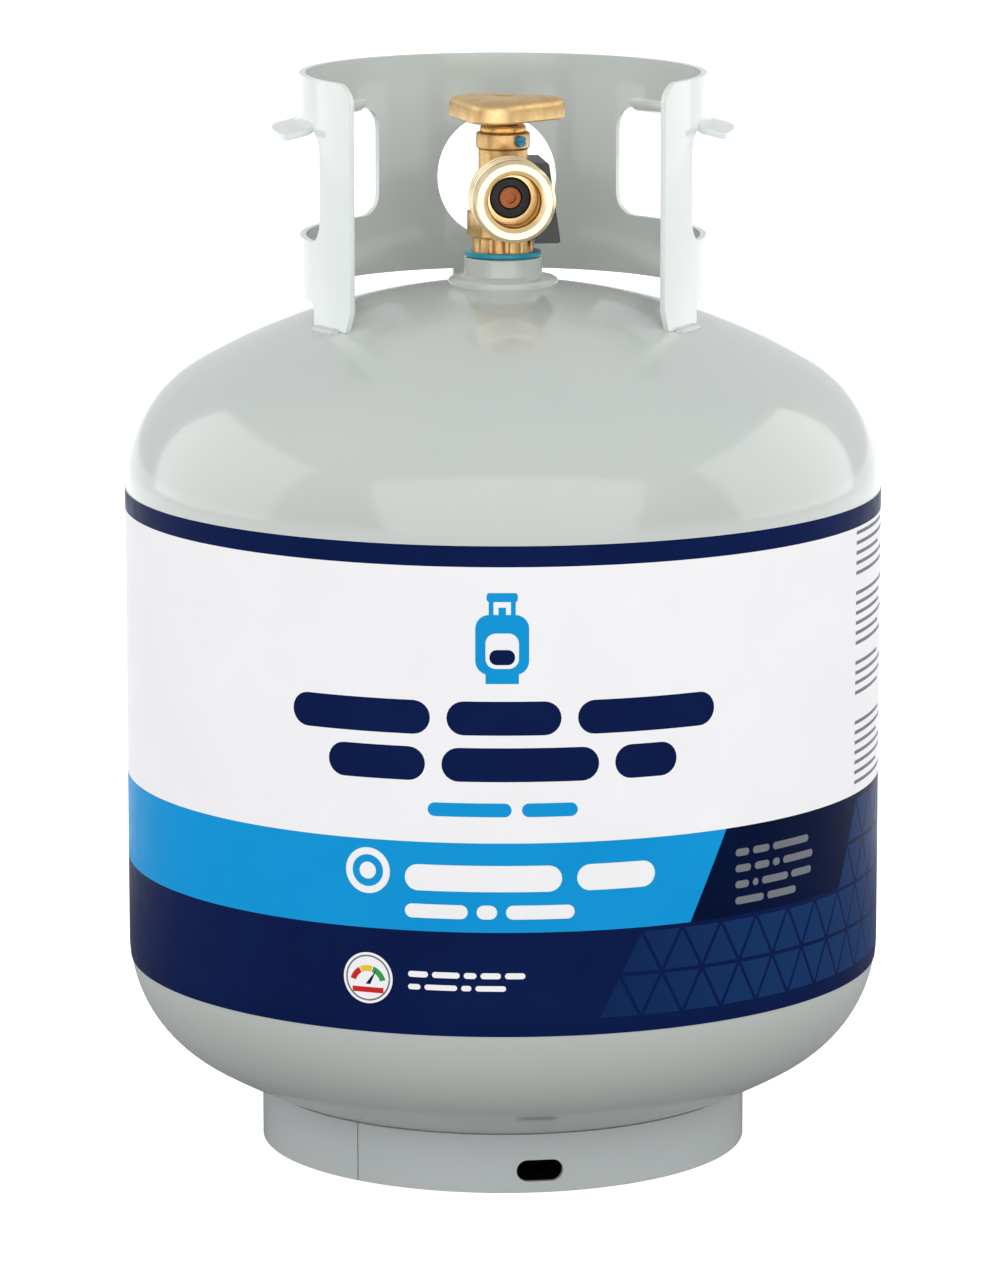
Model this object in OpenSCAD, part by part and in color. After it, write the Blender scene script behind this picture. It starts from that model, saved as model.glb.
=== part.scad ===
// Steel propane cylinder of the 20 lb size: welded shell, collar, foot ring and a brass overfill valve
// with a built-in float gauge. Millimetres, +Z up, origin under the centre of the foot ring.
// The open side of the collar and the valve outlet face -Y.

/* [Tank] */
// Outside diameter of the tank
tank_d = 310; // [305:1:314]
// Thickness of the shell's steel
wall = 2; // [1.8:0.1:2.8]
// Radius of the flatter middle of each head
crown_r = 253; // [245:1:260]
// Radius where each head turns into the straight side
knuckle_r = 55; // [50:1:58]
// Height at which the lower head ends
lower_tangent_z = 86; // [84:0.5:88]
// Height at which the upper head starts
upper_tangent_z = 275.3; // [274:0.1:276]
// Height of the label's lower edge
label_low_z = 78.5; // [76:0.5:90]
// Height of the label's upper edge
label_high_z = 274.4; // [260:0.1:275]
// Thickness of the label
label_t = 0.3; // [0.2:0.1:0.4]

/* [Foot ring] */
// Outside diameter of the foot ring
foot_d = 200.6; // [196:0.2:204]
// Thickness of the foot ring's steel
foot_t = 2.6; // [2.2:0.1:3]
// Length of each drain slot
drain_slot_w = 19; // [12:1:24]
// Height of each drain slot
drain_slot_h = 9; // [6:1:10]
// Direction of the front drain slot, from the front towards +X
drain_slot_turn = 6.6; // [0:0.1:20]

/* [Collar] */
// Outside diameter of the collar
collar_d = 166; // [162:1:168]
// Thickness of the collar's steel
collar_t = 2.6; // [2.2:0.1:3]
// Height of the collar's lower edge
collar_low_z = 353; // [350:0.5:354]
// Height of the collar's upper edge
collar_high_z = 443.5; // [441:0.5:446]
// Half of the front opening's angle
opening_half_angle = 49.5; // [44:0.5:52]
// Direction at which each hand slot starts, from the front
slot_start = 64.8; // [62:0.2:68]
// Direction at which each hand slot ends, from the front
slot_end = 142; // [130:0.2:144]
// Height of the hand slot's lower edge
slot_low_z = 377.5; // [374:0.5:380]
// Height of the hand slot's upper edge
slot_high_z = 423; // [419:0.5:424]
// How far the rolled lip over each hand slot reaches out from the collar
lip_reach = 13; // [8:0.5:14]
// Diameter of the round hole at the back
rear_hole_d = 52; // [44:1:54]

/* [Valve] */
// Turn of the whole valve towards +X
valve_turn = 5; // [0:1:10]
// Outside diameter of the outlet's thread, 1 5/16 inch
outlet_d = 33.34; // [33.2:0.01:33.4]
// Height of the outlet's axis
outlet_z = 394.7; // [394:0.1:395.5]
// Distance from the stem's axis to the outlet's face
outlet_reach = 40; // [38:0.5:42]
// Diameter of the socket inside the outlet, 0.885 inch
socket_d = 22.48; // [22.4:0.01:22.6]
// Pitch of the outlet's outer thread, 5 to the inch
outlet_pitch = 5.08; // [5:0.01:5.1]
// Turn of the handwheel's front corner, from the front towards -X
wheel_turn = 14; // [0:1:40]
// Distance from the stem's axis to the tip of each corner of the handwheel
wheel_tip_r = 26; // [24:0.5:28]

/* [Gauge and float] */
// Height of the float arm's pivot
pivot_z = 314; // [312:0.5:316]
// Distance from the pivot to the middle of the float
float_arm_l = 125; // [115:1:130]
// Angle that the float arm swings, from hanging to 80 percent full
float_swing = 68; // [55:1:70]
// Tilt of the gauge's face
gauge_tilt = 8; // [5:1:10]

/* [Hidden] */
$fn = 96;

tiny = 0.01;
shell_colour = "gainsboro";
brass_colour = "goldenrod";
tank_r = tank_d / 2;
core_r = tank_r - knuckle_r;
// Distance from a head's tangent plane down to the centre of its crown
crown_drop = sqrt(pow(crown_r - knuckle_r, 2) - pow(core_r, 2));
crown_centre_z = upper_tangent_z - crown_drop;
joint_z = (lower_tangent_z + upper_tangent_z) / 2;
joint_gap = 3;
joggle_l = 10;

foot_r = foot_d / 2;
foot_top_z = 24.6;
foot_gap = 0.4;

collar_r = collar_d / 2;
collar_corner_r = 9;
leg_outer_angle = 69;
leg_foot_angle = 53;
rear_leg_half_angle = 13;
lip_bend_r = 5;
lip_slope = 12;
lip_end_margin = 5;
rear_hole_z = 392;
leg_low_z = 338;

bung_r = 16;
bung_low_z = 347;
bung_top_z = 368;
bung_weld_r = 22.4;
thread_r = 12.9;
seal_ring_t = 2.5;
flute_low_z = bung_top_z + seal_ring_t;
flute_h = 5.5;
flute_count = 12;
body_low_z = 343;
block_low_z = 377;
block_top_z = 386.5;
block_r = 14.7;
column_r = 10;
column_top_z = 412.9;
body_top_z = 418.9;
body_ring_r = 11;
inlet_r = 3.5;
seat_z = 388;
chamber_r = 7.5;
chamber_top_z = 400;
bonnet_r = 7.2;
neck_r = 9.3;
neck_top_z = 421.9;
stem_r = 3.5;
plug_r = 5.5;
plug_thread_r = 6;
fit_gap = 0.05;
plug_low_z = 390.05;
plug_thread_z = 396;
plug_top_z = 402;
blade_low_z = 395.9;
plug_slot_z = 392.6;
blade_w = 7;
blade_t = 2;
disc_r = 4.8;
disc_t = 2;

horn_r = 13.5;
thread_start = 20;
socket_depth = 15.4;
retainer_low = 21;
retainer_r = 10.6;
rim_chamfer = 1.5;
outlet_seal_r = 8.4;
outlet_seal_bore_r = 4.35;
outlet_seal_t = 3.4;
piston_nose_r = 4.25;
piston_flange_r = 6.5;
piston_flange_t = 3;
piston_nose_reach = 24.5;
pocket_r = 7;
pocket_bottom = 9;
outlet_port_r = 2.5;

bleed_turn = 32;
bleed_z = 415.9;
bleed_r = 2.25;
dip_radius = 8.6;
dip_tube_r = 1.6;
dip_low_z = 269;

relief_z = 380.5;
relief_boss_r = 8;
relief_boss_reach = 23;
relief_bore_r = 6.2;
relief_seat_reach = 12;
relief_cap_t = 3;
relief_poppet_r = 4.6;

wheel_low_z = 424;
wheel_t = 9.4;
wheel_corner_r = 11;
recess_r = 5;
recess_depth = 2.6;
screw_r = 1.5;
screw_l = 8;
wheel_corner_offset = wheel_tip_r - wheel_corner_r;

opd_r = 10.5;
opd_low_z = 322;
opd_seat_z = 340;
opd_bore_r = 6.05;
opd_piston_r = 6;
opd_piston_low_z = 328.4;
opd_piston_t = 3.6;
opd_seal_t = 1.2;
opd_rod_r = 1.2;
opd_window_r = 2;
pivot_y = 5.2;
lobe_reach = 6;
lobe_r = 1.5;
lobe_clearance = 0.2;
web_half_t = 0.7;
hub_r = 2.4;
pin_r = 1.25;
hub_half_w = 3.9;
ear_inner_x = 4.1;
ear_outer_x = 6.4;
arm_rod_r = 1.2;
float_r = 12;
float_l = 60;
gauge_rod_x = 9.6;
gauge_rod_r = 1.2;
gauge_cam_x = 8.3;
gauge_cam_w = 2.6;
magnet_l = 7;
gauge_rod_top_z = 385;
// Lowest point of a rod that rests on a lobe, with the float hanging
rod_foot_z = pivot_z - lobe_reach * sin(float_swing / 2) + lobe_r + lobe_clearance;
rod_bore_top_z = gauge_rod_top_z + magnet_l + 2 * lobe_reach * sin(float_swing / 2) + 1;

gauge_low_z = 374;
gauge_high_z = 407;
gauge_back_x = 8.6;
gauge_face_x = 20.2;
gauge_mid_z = (gauge_low_z + gauge_high_z) / 2;
gauge_front_y = -9;
gauge_rear_y = 21;
gauge_mid_y = (gauge_front_y + gauge_rear_y) / 2;
gauge_boss_x = 12.4;
gauge_boss_y = 5;
dial_r = 12.2;
dial_recess = 3.4;
dial_t = 0.5;
lens_t = 1.2;
pointer_axle_r = 0.8;

// Places children in the valve's own frame
module at_valve() {
  rotate([0, 0, valve_turn]) children();
}

// Places children on the outlet's axis, with +Z along it, out of the tank's middle
module on_outlet() {
  at_valve() translate([0, 0, outlet_z]) rotate([90, 0, 0]) children();
}

// Places children on the relief valve's axis, with +Z pointing out of its back
module on_relief() {
  at_valve() translate([0, 0, relief_z]) rotate([-90, 0, 0]) children();
}

// Places children on the gauge's face, with +Z out of the face
module on_gauge() {
  at_valve() translate([gauge_face_x, gauge_mid_y, gauge_mid_z]) rotate([0, 90 - gauge_tilt, 0]) children();
}

// A ring round the Z axis
module ring(outer_r, inner_r, low_z, high_z) {
  rotate_extrude() translate([inner_r, low_z]) square([outer_r - inner_r, high_z - low_z]);
}

// A rod along Z
module rod(r, low_z, high_z) {
  translate([0, 0, low_z]) cylinder(r = r, h = high_z - low_z);
}

// Part of a ring between two directions, counted from the front towards -X
module ring_sector(outer_r, inner_r, low_z, high_z, from, to) {
  rotate([0, 0, -90 - to])
    rotate_extrude(angle = to - from)
      translate([inner_r, low_z]) square([outer_r - inner_r, high_z - low_z]);
}

// A radial drill through a ring wall, in a direction counted from the front towards -X
module radial_drill(r, direction, z, reach) {
  rotate([0, 0, -direction]) translate([0, 0, z]) rotate([90, 0, 0]) cylinder(r = r, h = reach);
}

// Mirrors children to both sides of the YZ plane
module both_sides() {
  children();
  mirror([1, 0, 0]) children();
}

// Half outline of one head above its tangent plane
module head_outline(inset) {
  intersection() {
    translate([0, -crown_drop]) circle(r = crown_r - inset, $fn = 720);
    polygon([[0, -crown_drop], [2 * core_r, crown_drop], [0, crown_drop]]);
  }
  intersection() {
    translate([core_r, 0]) circle(r = knuckle_r - inset, $fn = 240);
    square([tank_r + 1, knuckle_r + 1]);
  }
}

// Half outline of the closed tank, solid to its axis
module tank_outline(inset) {
  translate([0, lower_tangent_z]) square([tank_r - inset, upper_tangent_z - lower_tangent_z]);
  translate([0, upper_tangent_z]) head_outline(inset);
  translate([0, lower_tangent_z]) mirror([0, 1]) head_outline(inset);
}

module upper_shell() {
  color(shell_colour) difference() {
    rotate_extrude() difference() {
      tank_outline(0);
      tank_outline(wall);
      square([tank_r + 1, joint_z + joint_gap / 2]);
    }
    rod(bung_r, bung_low_z, bung_top_z);
  }
}

module lower_shell() {
  color(shell_colour) rotate_extrude() {
    difference() {
      tank_outline(0);
      tank_outline(wall);
      translate([0, joint_z - joint_gap / 2]) square([tank_r + 1, tank_d]);
    }
    translate([tank_r - 2 * wall, joint_z - joggle_l]) square([wall, 2 * joggle_l]);
    translate([tank_r - 1.5 * wall, joint_z - joggle_l]) square([wall, joggle_l - joint_gap]);
  }
}

module girth_weld() {
  color("darkgray") ring(tank_r, tank_r - wall, joint_z - joint_gap / 2, joint_z + joint_gap / 2);
}

module neck_bung() {
  bevel = 0.8;
  color(shell_colour) rotate_extrude() polygon([
    [thread_r, bung_low_z],
    [bung_r - bevel, bung_low_z],
    [bung_r, bung_low_z + bevel],
    [bung_r, bung_top_z - bevel],
    [bung_r - bevel, bung_top_z],
    [thread_r, bung_top_z]
  ]);
}

module bung_weld() {
  crest_z = 361;
  color(shell_colour) rotate_extrude() difference() {
    polygon([
      [bung_r, bung_low_z + 8],
      [bung_weld_r, bung_low_z + 8],
      [bung_weld_r, crest_z - 1.9],
      [bung_weld_r - 1.6, crest_z - 1.2],
      [bung_r + 1, crest_z],
      [bung_r, crest_z]
    ]);
    tank_outline(0);
  }
}

// One rounded hand slot, as a cutter
module slot_cutter() {
  corner_angle = 2 * asin(collar_corner_r / 2 / collar_r);
  outer = collar_r + 2;
  inner = collar_r - collar_t - 2;
  ring_sector(outer, inner, slot_low_z, slot_high_z, slot_start + corner_angle, slot_end - corner_angle);
  ring_sector(outer, inner, slot_low_z + collar_corner_r, slot_high_z - collar_corner_r, slot_start, slot_end);
  for (direction = [slot_start + corner_angle, slot_end - corner_angle]) {
    for (z = [slot_low_z + collar_corner_r, slot_high_z - collar_corner_r]) {
      radial_drill(collar_corner_r, direction, z, outer);
    }
  }
  ring_sector(outer, inner, slot_high_z - 1, slot_high_z + lip_bend_r - collar_t / 2,
              slot_start + lip_end_margin, slot_end - lip_end_margin);
}

// Outline of the sheet rolled outwards over a hand slot, round its bend's centre
module lip_outline(lip_t) {
  tab_h = 2;
  bend_step = 6;
  bend_end = 270 - lip_slope;
  outer_r = lip_bend_r + lip_t / 2;
  inner_r = lip_bend_r - lip_t / 2;
  tip_x = lip_reach - lip_bend_r;
  outer_bend = [for (a = [180:bend_step:bend_end]) outer_r * [cos(a), sin(a)]];
  inner_bend = [for (a = [bend_end:-bend_step:180]) inner_r * [cos(a), sin(a)]];
  tip = [for (a = [-90:30:90]) [tip_x, -lip_bend_r] + lip_t / 2 * [cos(a), sin(a)]];
  tip_turned = [for (p = tip) [
    p.x * cos(lip_slope) + p.y * sin(lip_slope),
    p.y * cos(lip_slope) - p.x * sin(lip_slope)
  ]];
  polygon(concat([[-inner_r, tab_h], [-outer_r, tab_h]], outer_bend, tip_turned, inner_bend));
}

// The sheet rolled outwards over one hand slot, a little thinner than the collar that its tab is sunk in
module slot_lip() {
  lip_t = collar_t - 0.1;
  rotate([0, 0, -90 - slot_end + lip_end_margin])
    rotate_extrude(angle = slot_end - slot_start - 2 * lip_end_margin)
      translate([collar_r + lip_bend_r - collar_t / 2, slot_high_z + lip_bend_r - collar_t / 2])
        lip_outline(lip_t);
}

// Rounds off the upper front corner of the collar, as a cutter
module front_corner_cutter() {
  corner_angle = 2 * asin(collar_corner_r / 2 / collar_r);
  shy = 0.05;
  difference() {
    ring_sector(collar_r + 2, collar_r - collar_t - 2, collar_high_z - collar_corner_r, collar_high_z + 1,
                opening_half_angle - 1, opening_half_angle + corner_angle);
    radial_drill(collar_corner_r, opening_half_angle + corner_angle - shy,
                 collar_high_z - collar_corner_r + shy, collar_r + 3);
  }
}

// The dome's outer surface as a solid, for trimming what stands on it
module dome_solid() {
  rotate_extrude() intersection() {
    tank_outline(0);
    translate([0, upper_tangent_z]) square([tank_r, tank_r]);
  }
}

// Cuts the ring away below the collar's lower edge, between two directions
module leg_gap(from, to) {
  ring_sector(collar_r + 2, collar_r - collar_t - 2, leg_low_z - 1, collar_low_z, from, to);
}

// Slants the front edge of a front leg, as a cutter
module front_leg_slant() {
  slant = 24;
  rotate([0, 0, -opening_half_angle]) translate([0, -collar_r, collar_low_z - 2])
    rotate([0, -slant, 0]) translate([0, 0, -30]) cube([20, 10, 60], center = true);
}

module collar() {
  color("whitesmoke") {
    difference() {
      ring(collar_r, collar_r - collar_t, leg_low_z, collar_high_z);
      ring_sector(collar_r + 2, collar_r - collar_t - 2, leg_low_z - 1, collar_high_z + 1,
                  -opening_half_angle, opening_half_angle);
      both_sides() {
        leg_gap(leg_outer_angle, 180 - rear_leg_half_angle);
        slot_cutter();
        front_corner_cutter();
        front_leg_slant();
      }
      radial_drill(rear_hole_d / 2, 180, rear_hole_z, collar_r + 2);
      dome_solid();
    }
    both_sides() slot_lip();
  }
}

// A fillet weld at the foot of one collar leg, between two directions
module leg_weld(from, to) {
  size = 3;
  foot_z = crown_centre_z + sqrt(pow(crown_r, 2) - pow(collar_r, 2));
  rotate([0, 0, -90 - to])
    rotate_extrude(angle = to - from) difference() {
      translate([collar_r, foot_z - 2]) polygon([[0, 0], [size + 1, -2], [size, 1.2], [1.2, size + 2], [0, size + 2]]);
      tank_outline_top();
    }
}

// Outline of the upper head in its place, solid to the axis
module tank_outline_top() {
  translate([0, upper_tangent_z]) head_outline(0);
}

module collar_welds() {
  color("whitesmoke") {
    both_sides() leg_weld(leg_foot_angle + 1, leg_outer_angle - 1);
    leg_weld(181 - rear_leg_half_angle, 179 + rear_leg_half_angle);
  }
}

// A rounded drain slot through the foot ring, as a cutter
module drain_cutter(direction) {
  slot_z = 9;
  half_l = (drain_slot_w - drain_slot_h) / 2;
  rotate([0, 0, direction]) translate([0, 0, slot_z]) rotate([90, 0, 0]) linear_extrude(foot_r + 2) {
    square([2 * half_l, drain_slot_h], center = true);
    for (side = [-half_l, half_l]) {
      translate([side, 0]) circle(r = drain_slot_h / 2);
    }
  }
}

module foot_ring() {
  seam_angle = 38;
  seam_w = 0.5;
  color(shell_colour) difference() {
    rotate_extrude() difference() {
      translate([foot_r - foot_t, 0]) square([foot_t, foot_top_z]);
      tank_outline(-foot_gap);
    }
    for (turn = [0, 120, 240]) {
      drain_cutter(turn + drain_slot_turn);
    }
    rotate([0, 0, -seam_angle]) translate([-seam_w / 2, -foot_r - 1, -1]) cube([seam_w, 1.5, foot_top_z + 2]);
  }
}

module foot_ring_welds() {
  inner_r = foot_r - foot_t;
  half_angle = 14;
  color(shell_colour) for (direction = [60, 180, 300]) {
    rotate([0, 0, direction - half_angle])
      rotate_extrude(angle = 2 * half_angle) difference() {
        translate([inner_r, foot_top_z]) polygon([[0, -7], [0, 2], [-6, 2], [-6, -3], [-1.6, -7]]);
        tank_outline(0);
      }
  }
}

module label() {
  color("white") rotate_extrude() intersection() {
    difference() {
      tank_outline(-label_t);
      tank_outline(0);
    }
    translate([0, label_low_z]) square([tank_r + 1, label_high_z - label_low_z]);
  }
}

module seal_ring() {
  bevel = 0.5;
  outer_r = 15.6;
  color("teal") rotate_extrude() polygon([
    [thread_r, bung_top_z],
    [outer_r, bung_top_z],
    [outer_r, flute_low_z - bevel],
    [outer_r - bevel, flute_low_z],
    [thread_r, flute_low_z]
  ]);
}

// Annular crests and roots of the outlet's outer thread, as a cutter
module outlet_thread_cutter() {
  depth = 2;
  root_half_w = 0.9;
  mouth_half_w = 1.5;
  outlet_r = outlet_d / 2;
  for (reach = [thread_start + 3 : outlet_pitch : outlet_reach - 4]) {
    translate([0, 0, reach]) rotate_extrude() polygon([
      [outlet_r - depth, -root_half_w],
      [outlet_r + 1, -mouth_half_w - 0.5],
      [outlet_r + 1, mouth_half_w + 0.5],
      [outlet_r - depth, root_half_w]
    ]);
  }
}

// The solid horn of the outlet, along its axis
module outlet_horn() {
  outlet_r = outlet_d / 2;
  cylinder(r = horn_r, h = thread_start + 1);
  rotate_extrude() polygon([
    [0, thread_start - 3],
    [horn_r, thread_start - 3],
    [outlet_r, thread_start],
    [outlet_r, outlet_reach - rim_chamfer],
    [outlet_r - rim_chamfer, outlet_reach],
    [0, outlet_reach]
  ]);
}

module valve_body() {
  socket_r = socket_d / 2;
  flute_r = 12.5;
  color(brass_colour) difference() {
    union() {
      at_valve() {
        rod(thread_r, body_low_z, flute_low_z);
        difference() {
          rod(flute_r, flute_low_z - tiny, flute_low_z + flute_h);
          for (i = [0 : flute_count - 1]) {
            rotate([0, 0, i * 360 / flute_count]) translate([flute_r + 0.5, 0, 0])
              rod(1.5, flute_low_z, flute_low_z + flute_h);
          }
        }
        rod(flute_r - 0.7, flute_low_z + flute_h - tiny, block_low_z + tiny);
        intersection() {
          rod(block_r, block_low_z, block_top_z);
          translate([-block_r, -11, block_low_z]) cube([2 * block_r, 22, block_top_z - block_low_z]);
        }
        translate([0, 0, block_top_z - tiny])
          cylinder(r1 = column_r + 1, r2 = column_r, h = 3);
        rod(column_r, block_low_z, column_top_z);
        rotate_extrude() polygon([
          [0, column_top_z - 1],
          [column_r, column_top_z - 1],
          [body_ring_r, column_top_z],
          [body_ring_r, body_top_z - 0.5],
          [body_ring_r - 0.5, body_top_z],
          [0, body_top_z]
        ]);
        translate([0, -gauge_boss_y, block_low_z])
          cube([gauge_boss_x, 2 * gauge_boss_y, rod_bore_top_z + 2 - block_low_z]);
      }
      on_outlet() outlet_horn();
      on_relief() rod(relief_boss_r, 0, relief_boss_reach);
    }
    on_outlet() {
      outlet_thread_cutter();
      rod(socket_r, outlet_reach - socket_depth, outlet_reach + 1);
      rod(retainer_r, retainer_low, outlet_reach);
      translate([0, 0, outlet_reach - rim_chamfer])
        cylinder(r1 = socket_r, r2 = socket_r + rim_chamfer, h = rim_chamfer + tiny);
      rod(pocket_r, pocket_bottom, outlet_reach);
      rod(outlet_port_r, 0, outlet_reach);
    }
    on_relief() {
      rod(3, 0, relief_boss_reach);
      rod(relief_bore_r, relief_seat_reach, relief_boss_reach + 1);
    }
    at_valve() {
      rod(inlet_r, body_low_z - 1, seat_z + 1);
      rod(chamber_r, seat_z, chamber_top_z + tiny);
      rod(bonnet_r, chamber_top_z, body_top_z + 1);
      rod(6.2, body_low_z - 1, body_low_z + 6);
      rotate([0, 0, bleed_turn]) translate([0, -dip_radius, 0]) {
        rod(dip_tube_r, body_low_z - 1, body_low_z + 10);
        rod(0.5, body_low_z, bleed_z);
      }
      rotate([0, 0, bleed_turn]) translate([0, 0, bleed_z]) rotate([90, 0, 0])
        rod(bleed_r + fit_gap, dip_radius - 0.4, body_ring_r + 1);
      translate([gauge_rod_x, 0, 0]) rod(gauge_rod_r + 0.1, body_low_z - 1, rod_bore_top_z);
    }
  }
}

module bonnet() {
  color(brass_colour) at_valve() rotate_extrude() difference() {
    union() {
      translate([0, chamber_top_z]) square([bonnet_r, body_top_z - chamber_top_z]);
      translate([0, body_top_z]) square([neck_r, neck_top_z - body_top_z - 0.5]);
      translate([0, body_top_z]) square([neck_r - 0.5, neck_top_z - body_top_z]);
    }
    translate([0, chamber_top_z - 1]) square([plug_thread_r + fit_gap, 10]);
    translate([0, chamber_top_z + 9 - tiny]) square([5.05, 4.6]);
    translate([0, chamber_top_z]) square([stem_r + fit_gap, 30]);
    translate([0, neck_top_z - 3.4]) square([4.6, 2]);
  }
}

module upper_stem() {
  collar_low = chamber_top_z + 9.4;
  collar_top = collar_low + 4;
  stem_top_z = wheel_low_z + wheel_t - recess_depth;
  color(brass_colour) at_valve() difference() {
    union() {
      rod(stem_r, collar_low, stem_top_z);
      rod(5, collar_low, collar_top);
      translate([-blade_w / 2, -blade_t / 2, blade_low_z]) cube([blade_w, blade_t, collar_low - blade_low_z + 1]);
    }
    rod(screw_r, stem_top_z - screw_l, stem_top_z + 1);
  }
}

module stem_o_ring() {
  color("black") at_valve() rotate_extrude() translate([(stem_r + 4.6) / 2, neck_top_z - 2.4])
    circle(r = (4.6 - stem_r) / 2 - 0.02);
}

// Outline of the handwheel: three round corners joined by straight sides
module wheel_outline(inset) {
  corner_r = wheel_corner_r - inset;
  corner_step = 6;
  polygon([
    for (i = [0 : 2], turn = [-60 : corner_step : 60])
      [
        wheel_corner_offset * cos(i * 120) + corner_r * cos(i * 120 + turn),
        wheel_corner_offset * sin(i * 120) + corner_r * sin(i * 120 + turn)
      ]
  ]);
}

module handwheel() {
  bevel = 1.2;
  hub_low_z = neck_top_z + 0.4;
  color(brass_colour) difference() {
    union() {
      rotate([0, 0, -90 - wheel_turn]) {
        translate([0, 0, wheel_low_z + bevel]) linear_extrude(wheel_t - 2 * bevel) wheel_outline(0);
        translate([0, 0, wheel_low_z]) linear_extrude(wheel_t) wheel_outline(bevel);
      }
      translate([0, 0, hub_low_z]) cylinder(r1 = 6.5, r2 = 9, h = wheel_low_z - hub_low_z + tiny);
    }
    rod(stem_r, hub_low_z - 1, wheel_low_z + wheel_t - recess_depth);
    rod(recess_r, wheel_low_z + wheel_t - recess_depth, wheel_low_z + wheel_t + 1);
  }
}

module handwheel_screw() {
  head_low_z = wheel_low_z + wheel_t - recess_depth;
  color("silver") difference() {
    union() {
      rod(4.2, head_low_z, head_low_z + 1.8);
      rod(screw_r, head_low_z - screw_l, head_low_z + 1);
    }
    translate([-3, -0.4, head_low_z + 1]) cube([6, 0.8, 2]);
    translate([-0.4, -3, head_low_z + 1]) cube([0.8, 6, 2]);
  }
}

module seat_plug() {
  color(brass_colour) at_valve() difference() {
    union() {
      rod(plug_r, plug_low_z, plug_top_z);
      rod(plug_thread_r, plug_thread_z, plug_top_z);
    }
    translate([-blade_w / 2 - 0.2, -blade_t / 2 - 0.2, plug_slot_z])
      cube([blade_w + 0.4, blade_t + 0.4, plug_top_z]);
  }
}

module seat_disc() {
  color("black") at_valve() rod(disc_r, plug_low_z - disc_t, plug_low_z);
}

module outlet_retainer() {
  color(brass_colour) on_outlet()
    ring(retainer_r, outlet_seal_r, retainer_low, outlet_reach - socket_depth);
}

module outlet_seal() {
  low = retainer_low;
  bevel = 0.6;
  color("black") on_outlet() rotate_extrude() polygon([
    [outlet_seal_bore_r, low],
    [outlet_seal_r, low],
    [outlet_seal_r, low + outlet_seal_t - bevel],
    [outlet_seal_r - bevel, low + outlet_seal_t],
    [outlet_seal_bore_r + bevel, low + outlet_seal_t],
    [outlet_seal_bore_r, low + outlet_seal_t - bevel]
  ]);
}

module check_piston() {
  flange_top = retainer_low - fit_gap;
  flange_low = flange_top - piston_flange_t;
  color(brass_colour) on_outlet() difference() {
    union() {
      rod(piston_flange_r, flange_low, flange_top);
      rod(piston_nose_r, flange_low, piston_nose_reach - 0.5);
      rod(piston_nose_r - 0.5, flange_low, piston_nose_reach);
      rod(2, flange_low - 4, flange_low + 1);
    }
    rod(2.3, piston_nose_reach - 1.6, piston_nose_reach + 1);
  }
}

// A coil spring's turns as separate rings between two ends, along Z
module spring_rings(mid_r, wire_r, low, high, turns) {
  step = (high - low - 2 * wire_r) / (turns - 1);
  for (i = [0 : turns - 1]) {
    translate([0, 0, low + wire_r + i * step])
      rotate_extrude() translate([mid_r, 0]) circle(r = wire_r);
  }
}

module check_spring() {
  spring_high = retainer_low - fit_gap - piston_flange_t - 0.02;
  color("silver") on_outlet() spring_rings(4.6, 0.45, pocket_bottom + 0.02, spring_high, 5);
}

module bleed_screw() {
  face = body_ring_r + 1.4;
  color("dodgerblue") at_valve() rotate([0, 0, bleed_turn]) translate([0, 0, bleed_z]) rotate([90, 0, 0])
    difference() {
      rod(bleed_r, dip_radius - 0.3, face);
      translate([-3, -0.35, face - 0.9]) cube([6, 0.7, 2]);
    }
}

module dip_tube() {
  color("silver") at_valve() rotate([0, 0, bleed_turn]) translate([0, -dip_radius, 0])
    ring(dip_tube_r, 0.9, dip_low_z, body_low_z + 10);
}

module relief_cap() {
  low = relief_boss_reach - relief_cap_t;
  color(brass_colour) on_relief() difference() {
    rod(relief_bore_r, low, relief_boss_reach);
    rod(1.7, low - 1, relief_boss_reach + 1);
    for (i = [0 : 5]) {
      rotate([0, 0, i * 60]) translate([4, 0, 0]) rod(0.9, low - 1, relief_boss_reach + 1);
    }
  }
}

module relief_poppet() {
  low = relief_seat_reach + 1.25;
  color(brass_colour) on_relief() {
    rod(relief_poppet_r, low, low + 1.6);
    rod(1.5, low, relief_boss_reach + 0.4);
  }
}

module relief_seal() {
  color("black") on_relief() rod(relief_poppet_r - 0.2, relief_seat_reach + 0.05, relief_seat_reach + 1.25);
}

module relief_spring() {
  low = relief_seat_reach + 1.25 + 1.6 + 0.02;
  color("silver") on_relief() spring_rings(3.1, 0.4, low, relief_boss_reach - relief_cap_t - 0.02, 4);
}

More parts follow.
